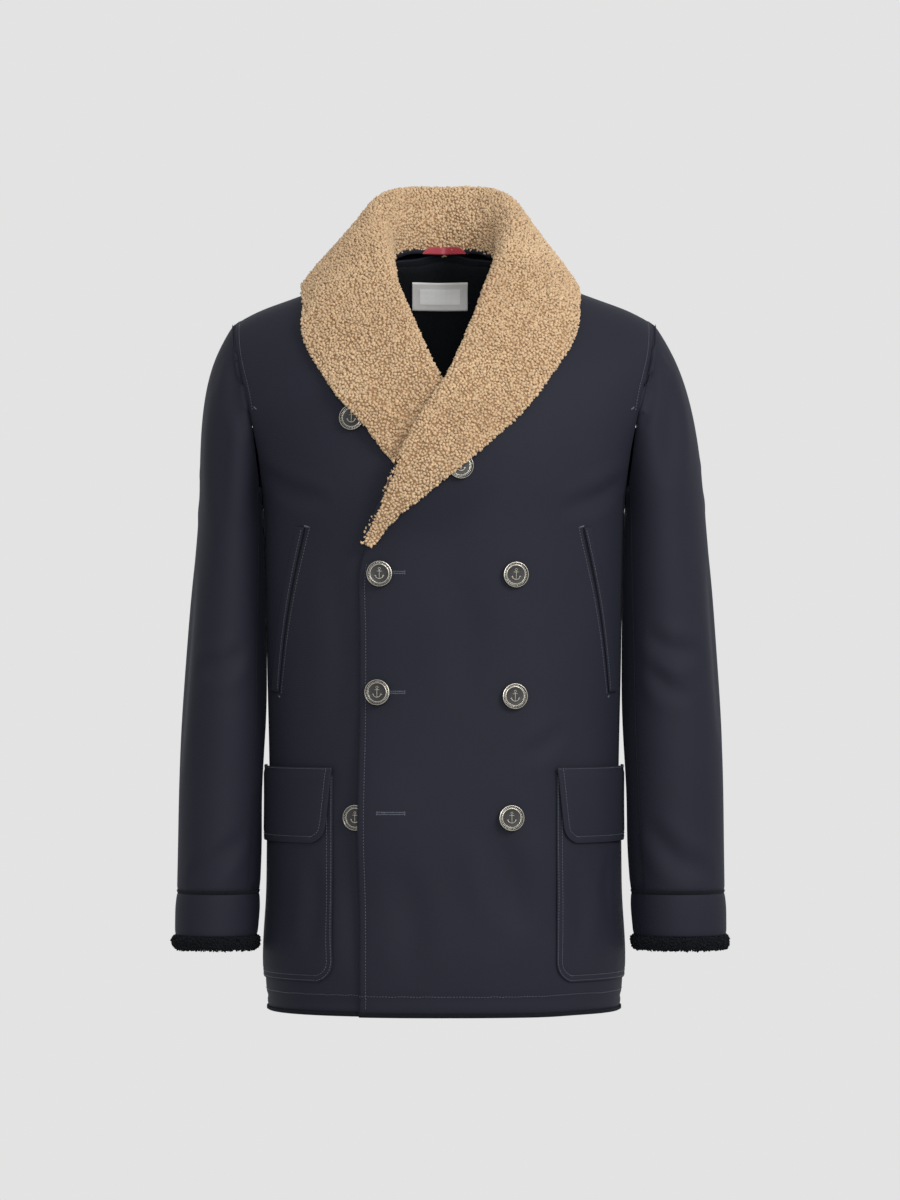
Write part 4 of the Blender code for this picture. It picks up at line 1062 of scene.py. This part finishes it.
# Neck lining
# Black sheepskin pile lines the coat. It shows inside the back of the neck, below the collar seam.
LINING_PILE = 0.0022
lining = Shell("neck_lining", "lining_back", TRUNK, 2, inside=True)
lining.wrap(LINING_PILE, BLACK, BLACK)
placed(lining.piece, "black_pile", "lining_back")


# Shawl collar
# One collar of curly sheepskin in two halves, joined at the centre back. It stands up round the neck,
# folds over and runs down both fronts as lapels. The wearer's left one ends in a narrow tip.
COLLAR_RIM = math.radians(62)
BASE_DEPTH = 0.0010  # the skin lies this far under the tips of the curls
HIDE = 0.0030
CURLS_SEED = 40
CURLS = {"Spacing": 0.0026, "Width": 0.0020, "Length": 0.0020, "Lift": 0.0009, "Tilt": 1.6, "Bend": 0.0012}


def curly_wool():
    """Sheepskin with its curls left on, dyed camel. Its tips catch the light, and it is matt and soft."""
    gloss = {"Sheen Weight": 0.35, "Sheen Roughness": 0.5, "Specular IOR Level": 0.15}
    gloss["Sheen Tint"] = linear("#F3DDBE")
    made, tree, shader, place = start_material("camel_sheepskin", 0.88, gloss)
    broad = add(tree, "ShaderNodeTexNoise", {"Vector": place, "Scale": 14.0, "Detail": 3.0})
    curl = add(tree, "ShaderNodeTexNoise", {"Vector": place, "Scale": 1 / 0.0036, "Detail": 2.0})
    tones = {"A": linear("#B09271"), "B": linear("#C9AF8D")}
    tone = add(tree, "ShaderNodeMix", {"Factor": broad.outputs["Fac"], **tones}, data_type="RGBA")
    tips = add(
        tree,
        "ShaderNodeMapRange",
        {"Value": curl.outputs["Fac"], "From Min": 0.3, "From Max": 0.7, "To Min": 0.78, "To Max": 1.16},
    )
    mixed = add(
        tree,
        "ShaderNodeVectorMath",
        {0: tone.outputs["Result"], "Scale": tips.outputs["Result"]},
        operation="SCALE",
    )
    tree.links.new(mixed.outputs["Vector"], shader.inputs["Base Color"])
    fibre = add(
        tree,
        "ShaderNodeTexNoise",
        {"Vector": place, "Scale": 1 / 0.0009, "Detail": 2.0, "Distortion": 1.5},
    )
    bump = add(
        tree,
        "ShaderNodeBump",
        {"Strength": 0.55, "Distance": 0.0006, "Height": fibre.outputs["Fac"]},
    )
    tree.links.new(bump.outputs["Normal"], shader.inputs["Normal"])
    return made


def shaded_wool_roots():
    """The skin under the curls, coloured a darker brown than the curls as painted shade of the curls over
    it.
    """
    spots = ("ShaderNodeTexNoise", {"Scale": 1 / 0.003, "Detail": 2.0}, {})
    return mottled("sheepskin_roots_painted_shade", 0.95, {}, spots, ("#7B583B", "#A58460"))


CAMEL, SHADED_ROOTS = curly_wool(), shaded_wool_roots()
for word, side in SIDES.items():
    collar = Shell(f"collar_skin_{word}", f"collar_{word}", None, 2, rim_angle=COLLAR_RIM)
    collar.push(np.full(len(collar.points), -BASE_DEPTH))
    # The skin side takes the darker roots colour, which paints the shade under the curls.
    collar.wrap(HIDE, SHADED_ROOTS, NAVY)
    placed(collar.piece, "collar_pile", f"collar_{word}")
    surface = evaluated(collar.piece)
    cut_away(surface, lambda face: face.material_index == 1)
    wool_on(f"collar_curls_{word}", surface, CURLS, CURLS_SEED + side, CAMEL, "collar_pile")


# Hang loop
# A short loop of woven red viscose tape. Its ends are caught in the neck seam at the centre back.
TAPE = 0.0013
loop = Shell("neck_loop", "hang_loop", TRUNK, 3, inside=True)


def red_tape():
    """Viscose tape in a close herringbone, with the soft shine of viscose."""
    slant = {"bands_direction": "DIAGONAL"}
    ribs = ("ShaderNodeTexWave", {"Scale": BANDS / 0.0011, "Distortion": 0.6}, slant)
    relief = {"Strength": 0.4, "Distance": 0.0003}
    return mottled("red_viscose_tape", 0.45, {"Sheen Weight": 0.25}, ribs, ("#7A1423", "#A32136"), relief)


RED = red_tape()
loop.wrap(TAPE, RED, RED)
placed(loop.piece, "loop_tape", "hang_loop")


# Label
# A blank woven label on the neck lining, of grey ribbed damask with a white field.
LABEL_CLOTH = 0.0009
FIELD = {"width": 0.043, "height": 0.0155, "lift": 0.00035, "thickness": 0.0003}
FIELD_AHEAD = 0.02  # how far in front of the label its surface is looked for


def label_weave(name, dark, light, rib):
    """Damask of fine polyester yarn, with ribs."""
    made, tree, shader, place = start_material(name, 0.55, {"Sheen Weight": 0.15})
    ribs = add(
        tree,
        "ShaderNodeTexWave",
        {"Vector": place, "Scale": BANDS / rib, "Distortion": 0.3},
        bands_direction="X",
    )
    fleck = add(tree, "ShaderNodeTexNoise", {"Vector": place, "Scale": 1 / 0.0007, "Detail": 1.0})
    both = add(
        tree,
        "ShaderNodeMath",
        {0: ribs.outputs["Fac"], 1: fleck.outputs["Fac"]},
        operation="MULTIPLY",
    )
    tones = {"A": linear(dark), "B": linear(light)}
    tone = add(tree, "ShaderNodeMix", {"Factor": both.outputs["Value"], **tones}, data_type="RGBA")
    tree.links.new(tone.outputs["Result"], shader.inputs["Base Color"])
    bump = add(
        tree,
        "ShaderNodeBump",
        {"Strength": 0.3, "Distance": 0.0002, "Height": both.outputs["Value"]},
    )
    tree.links.new(bump.outputs["Normal"], shader.inputs["Normal"])
    return made


GREY = label_weave("grey_damask", "#DAD9D6", "#F2F1EE", 0.0009)
WHITE = label_weave("white_damask", "#FAFAF8", "#FFFFFF", 0.0007)
tag = Shell("neck_label", "label", TRUNK, 3, inside=True)
tag.wrap(LABEL_CLOTH, GREY, GREY)
placed(tag.piece, "label_cloth", "label")
low_corner, high_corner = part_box("label")
centre = (low_corner + high_corner) / 2
columns, rows = 9, 4
field_points = []
for layer in (FIELD["lift"], FIELD["lift"] + FIELD["thickness"]):
    for v in np.linspace(-0.5, 0.5, rows):
        for u in np.linspace(-0.5, 0.5, columns):
            place = Vector((centre.x + u * FIELD["width"], low_corner.y, centre.z + v * FIELD["height"]))
            found = tag.tree.ray_cast(place - Vector((0, FIELD_AHEAD, 0)), Vector((0, 1, 0)))[0]
            field_points.append(found - Vector((0, layer, 0)))
layer_size = columns * rows
field_faces = []
for i in range(rows - 1):
    for j in range(columns - 1):
        k = i * columns + j
        quad = (k, k + 1, k + columns + 1, k + columns)
        field_faces += [quad, tuple(v + layer_size for v in quad[::-1])]
rim = [*range(columns - 1), *range(columns - 1, layer_size - 1, columns)]
rim += [*range(layer_size - 1, layer_size - columns, -1), *range(layer_size - columns, 0, -columns)]
field_faces += [(a, b, b + layer_size, a + layer_size) for a, b in zip(rim, rim[1:] + rim[:1])]
field = closed_mesh("label_field", field_points, field_faces)
placed(new_piece("label_field", field, WHITE), "label_cloth")


# Buttonholes
# Three worked buttonholes behind the front edge of the wearer's left front, each in line with a button:
# two rows of close thread along the slit, with a bar at both ends.
HOLE_HEIGHTS = (-0.3390, -0.4630, -0.5880)
HOLE = {"start_x": -0.0690, "end_x": -0.0410, "half_width": 0.0013, "pitch": 0.00062, "thread": 0.00034}
HOLE_THREADS = (0.25, 1.35, -0.25, -1.35)  # where the threads beside the slit start and end, in half widths
BAR = {"beyond": 0.0004, "half_height": 1.3, "threads": 6, "half_length": 0.0009}
HOLE_LIFT = {"side": 0.0002, "bar": 0.0003}
hole_ends = []


def on_left_front(x, z, lift):
    """The end of a thread on the wearer's left front, seen from in front."""
    found, out = fronts["left"].tree.ray_cast(Vector((x, -1.0, z)), Vector((0, 1, 0)))[:2]
    hole_ends.append(np.array(found + out * lift))


for height in HOLE_HEIGHTS:
    for x in np.arange(HOLE["start_x"], HOLE["end_x"], HOLE["pitch"]):
        for reach in HOLE_THREADS:
            on_left_front(x, height + reach * HOLE["half_width"], HOLE_LIFT["side"])
    for x in (HOLE["start_x"] - BAR["beyond"], HOLE["end_x"] + BAR["beyond"]):
        for z in np.linspace(-BAR["half_height"], BAR["half_height"], BAR["threads"]) * HOLE["half_width"]:
            for step in (-BAR["half_length"], BAR["half_length"]):
                on_left_front(x + step, height + z, HOLE_LIFT["bar"])
threads("buttonholes", hole_ends, HOLE["thread"], "navy_cloth", THREAD)


# Buttons
# Eight large cast buttons, silver plated and blackened, sewn on by a shank. Each has a bright rim, a
# fine rope ring and a generic anchor in its dark middle.
BUTTON_PROFILE = [  # from the middle of the face over the rim to the back, in millimetres
    {"radius": 0.0, "height": 4.30}, {"radius": 4.0, "height": 4.28}, {"radius": 8.6, "height": 4.15},
    {"radius": 9.2, "height": 4.30}, {"radius": 9.5, "height": 4.85}, {"radius": 9.9, "height": 4.95},
    {"radius": 10.3, "height": 4.80}, {"radius": 10.5, "height": 4.35}, {"radius": 11.8, "height": 4.35},
    {"radius": 12.1, "height": 5.30}, {"radius": 12.6, "height": 5.85}, {"radius": 13.1, "height": 5.75},
    {"radius": 13.5, "height": 5.20}, {"radius": 13.6, "height": 4.20}, {"radius": 13.0, "height": 2.40},
    {"radius": 11.0, "height": 2.10}, {"radius": 3.8, "height": 1.90}, {"radius": 3.5, "height": 0.30},
    {"radius": 0.0, "height": 0.25},
]
BUTTON_TURNS = 44
DARK_RINGS = {0, 1, 2, 6, 7, 8, 14, 15, 16, 17}  # strips of the profile that stay black
BEADS = 40
BEAD = {"ring": 11.15, "height": 4.60, "length": 0.78, "width": 0.34, "lean": 0.6}
ANCHOR = [  # rods in the button's face, in millimetres
    {"path": [(0.0, -4.9), (0.0, 0.0), (0.0, 4.0)], "radius": 0.62},
    {"path": [(-2.7, 2.6), (0.0, 2.6), (2.7, 2.6)], "radius": 0.55},
    {"path": [(-4.3, -1.7), (-3.6, -3.4), (-2.0, -4.7), (0.0, -5.2), (2.0, -4.7), (3.6, -3.4), (4.3, -1.7)],
     "radius": 0.62},
    {"path": [(-5.2, -2.6), (-4.3, -1.4), (-3.2, -2.2)], "radius": 0.50},
    {"path": [(5.2, -2.6), (4.3, -1.4), (3.2, -2.2)], "radius": 0.50},
]
ANCHOR_EYE = {"centre": 5.1, "radius": 1.15, "rod": 0.42, "points": 12}
ANCHOR_HEIGHT = 4.75
ROD_TIP = 0.7  # the rods' ends are this much slimmer
BUTTON_EDGE = math.radians(38)
SHANK_SINK = 0.0003  # how far the foot of the shank goes into the cloth
MM = 0.001
UP = Vector((0, 0, 1))


def plated_metal():
    """Cast zinc with a silver plating, blackened and then rubbed bright where it stands out."""
    made, tree, shader, place = start_material("antiqued_silver", 0.30, {"Metallic": 1.0})
    worn = add(tree, "ShaderNodeTexNoise", {"Vector": place, "Scale": 1 / 0.0016, "Detail": 4.0})
    tones = {"A": linear("#6E6B64"), "B": linear("#D8D3C6")}
    tone = add(tree, "ShaderNodeMix", {"Factor": worn.outputs["Fac"], **tones}, data_type="RGBA")
    tree.links.new(tone.outputs["Result"], shader.inputs["Base Color"])
    rough = add(
        tree,
        "ShaderNodeMapRange",
        {"Value": worn.outputs["Fac"], "To Min": 0.42, "To Max": 0.22},
    )
    tree.links.new(rough.outputs["Result"], shader.inputs["Roughness"])
    bump = add(
        tree,
        "ShaderNodeBump",
        {"Strength": 0.25, "Distance": 0.0002, "Height": worn.outputs["Fac"]},
    )
    tree.links.new(bump.outputs["Normal"], shader.inputs["Normal"])
    return made


def black_enamel():
    """The blackened hollows of the casting: dark, with a dull gloss."""
    grime = ("ShaderNodeTexNoise", {"Scale": 1 / 0.0012, "Detail": 3.0}, {})
    return mottled("blackened_silver", 0.42, {}, grime, ("#08090A", "#232322"))


SILVER, ENAMEL = plated_metal(), black_enamel()


def rod(work, path, radius, closed=False, sides=6):
    """A rod along a path in the face, tapering to rounded ends."""
    path = [Vector((x * MM, y * MM, z * MM)) for x, y, z in path]
    rings = []
    for index, place in enumerate(path):
        ahead = path[(index + 1) % len(path)] if closed else path[min(index + 1, len(path) - 1)]
        behind = path[index - 1] if closed or index else path[0]
        way = (ahead - behind).normalized()
        across = way.cross(UP).normalized()
        slim = 1.0 if closed or 0 < index < len(path) - 1 else ROD_TIP
        turns = [2 * math.pi * k / sides for k in range(sides)]
        spokes = [across * math.cos(t) + UP * math.sin(t) for t in turns]
        rings.append([work.verts.new(place + spoke * radius * MM * slim) for spoke in spokes])
    pairs = list(zip(rings, rings[1:])) + ([(rings[-1], rings[0])] if closed else [])
    for a, b in pairs:
        for k in range(sides):
            n = (k + 1) % sides
            work.faces.new((a[k], a[n], b[n], b[k]))
    if not closed:
        work.faces.new(rings[0])
        work.faces.new(rings[-1])


def button_mesh():
    """The button in its own frame: its back on the cloth at z = 0 and its face towards +Z."""
    work = bmesh.new()
    rings = []
    for row in BUTTON_PROFILE:
        radius, height = row["radius"] * MM, row["height"] * MM
        if radius == 0:
            rings.append([work.verts.new((0, 0, height))])
            continue
        turns = [2 * math.pi * k / BUTTON_TURNS for k in range(BUTTON_TURNS)]
        rings.append([work.verts.new((radius * math.cos(t), radius * math.sin(t), height)) for t in turns])
    for index, (a, b) in enumerate(zip(rings, rings[1:])):
        for k in range(BUTTON_TURNS):
            n = (k + 1) % BUTTON_TURNS
            corners = [a[k % len(a)], b[k % len(b)], b[n % len(b)], a[n % len(a)]]
            face = work.faces.new(list(dict.fromkeys(corners)))
            face.material_index = 1 if index in DARK_RINGS else 0
    for row in ANCHOR:
        rod(work, [(x, y, ANCHOR_HEIGHT) for x, y in row["path"]], row["radius"])
    ring, points = ANCHOR_EYE["radius"], ANCHOR_EYE["points"]
    turns = [2 * math.pi * k / points for k in range(points)]
    eye = [(ring * math.cos(t), ANCHOR_EYE["centre"] + ring * math.sin(t), ANCHOR_HEIGHT) for t in turns]
    rod(work, eye, ANCHOR_EYE["rod"], closed=True)
    for k in range(BEADS):
        turn = 2 * math.pi * k / BEADS
        bead = bmesh.ops.create_icosphere(work, subdivisions=1, radius=1.0)["verts"]
        shape = Matrix.Diagonal((BEAD["length"] * MM, BEAD["width"] * MM, BEAD["width"] * MM, 1))
        lean = Matrix.Rotation(turn + math.pi / 2 + BEAD["lean"], 4, "Z")
        at = Matrix.Translation(
            Vector((math.cos(turn) * BEAD["ring"], math.sin(turn) * BEAD["ring"], BEAD["height"])) * MM
        )
        bmesh.ops.transform(work, matrix=at @ lean @ shape, verts=bead)
    bmesh.ops.recalc_face_normals(work, faces=work.faces)
    mesh = bpy.data.meshes.new("button")
    work.to_mesh(mesh)
    work.free()
    mesh.shade_smooth()
    mesh.set_sharp_from_angle(angle=BUTTON_EDGE)
    return mesh


cast = button_mesh()
for node in sorted(name for name in frame["nodes"] if name.startswith("button_")):
    spots = points_of(frame["nodes"][node].data)
    middle = (spots.max(0) + spots.min(0)) / 2
    out = np.linalg.svd(spots - spots.mean(0), full_matrices=False)[2][2]
    out = Vector(out if out[1] < 0 else -out)
    across = UP.cross(out).normalized()
    turned = Matrix((across, out.cross(across), out)).transposed().to_4x4()
    depths = (spots - middle) @ np.array(out)
    foot = Vector(middle) + out * (depths.min() - SHANK_SINK)
    mesh = cast.copy()
    mesh.transform(Matrix.Translation(foot) @ turned)
    made = new_piece(f"cast_{node}", mesh, SILVER, ENAMEL)
    placed(made, "button_metal", node)


# Studio
# A plain pale floor well below the coat, pale surroundings and two large soft lights.
PALE = "#E3E3E3"
FLOOR = {"half": 2.2, "z": -1.25}
FLOOR_PAINT = "#C2C2C2"  # under the lamps it looks as pale as the surroundings
CAMERA = {"x": 0.0063, "y": -6.5, "z": -0.3675, "height_seen": 1.26, "plane": 6.45, "film": 24.0}
LIGHTS = [
    {"name": "key", "at": (1.7, -1.9, 1.1), "size": 1.3, "power": 50.0},
    {"name": "front", "at": (0.2, -4.6, 0.5), "size": 1.4, "power": 70.0},
]
LAMP_AIM = (0, 0, -0.4)
world = bpy.data.worlds.new("studio")
bpy.context.scene.world = world
world.use_nodes = True
world.node_tree.nodes["Background"].inputs["Color"].default_value = linear(PALE)
bpy.context.scene.view_settings.view_transform = "Standard"
floor_mesh = bpy.data.meshes.new("floor")
half = FLOOR["half"]
corners = [(-half, -half), (half, -half), (half, half), (-half, half)]
floor_mesh.from_pydata([(x, y, FLOOR["z"]) for x, y in corners], [], [(0, 1, 2, 3)])
floor_paint, _, floor_shader, _ = start_material("pale_paint", 0.9)
floor_shader.inputs["Base Color"].default_value = linear(FLOOR_PAINT)
new_piece("floor", floor_mesh, floor_paint)
for row in LIGHTS:
    lamp = bpy.data.objects.new(row["name"], bpy.data.lights.new(row["name"], "AREA"))
    bpy.context.scene.collection.objects.link(lamp)
    lamp.data.shape, lamp.data.size, lamp.data.energy = "DISK", row["size"], row["power"]
    lamp.location = row["at"]
    lamp.rotation_euler = (Vector(LAMP_AIM) - lamp.location).to_track_quat("-Z", "Y").to_euler()
eye = bpy.data.objects.new("camera", bpy.data.cameras.new("camera"))
bpy.context.scene.collection.objects.link(eye)
eye.location = (CAMERA["x"], CAMERA["y"], CAMERA["z"])
eye.rotation_euler = (math.pi / 2, 0, 0)
eye.data.sensor_width = CAMERA["film"]
eye.data.lens = CAMERA["film"] * CAMERA["plane"] / CAMERA["height_seen"]
bpy.context.scene.camera = eye
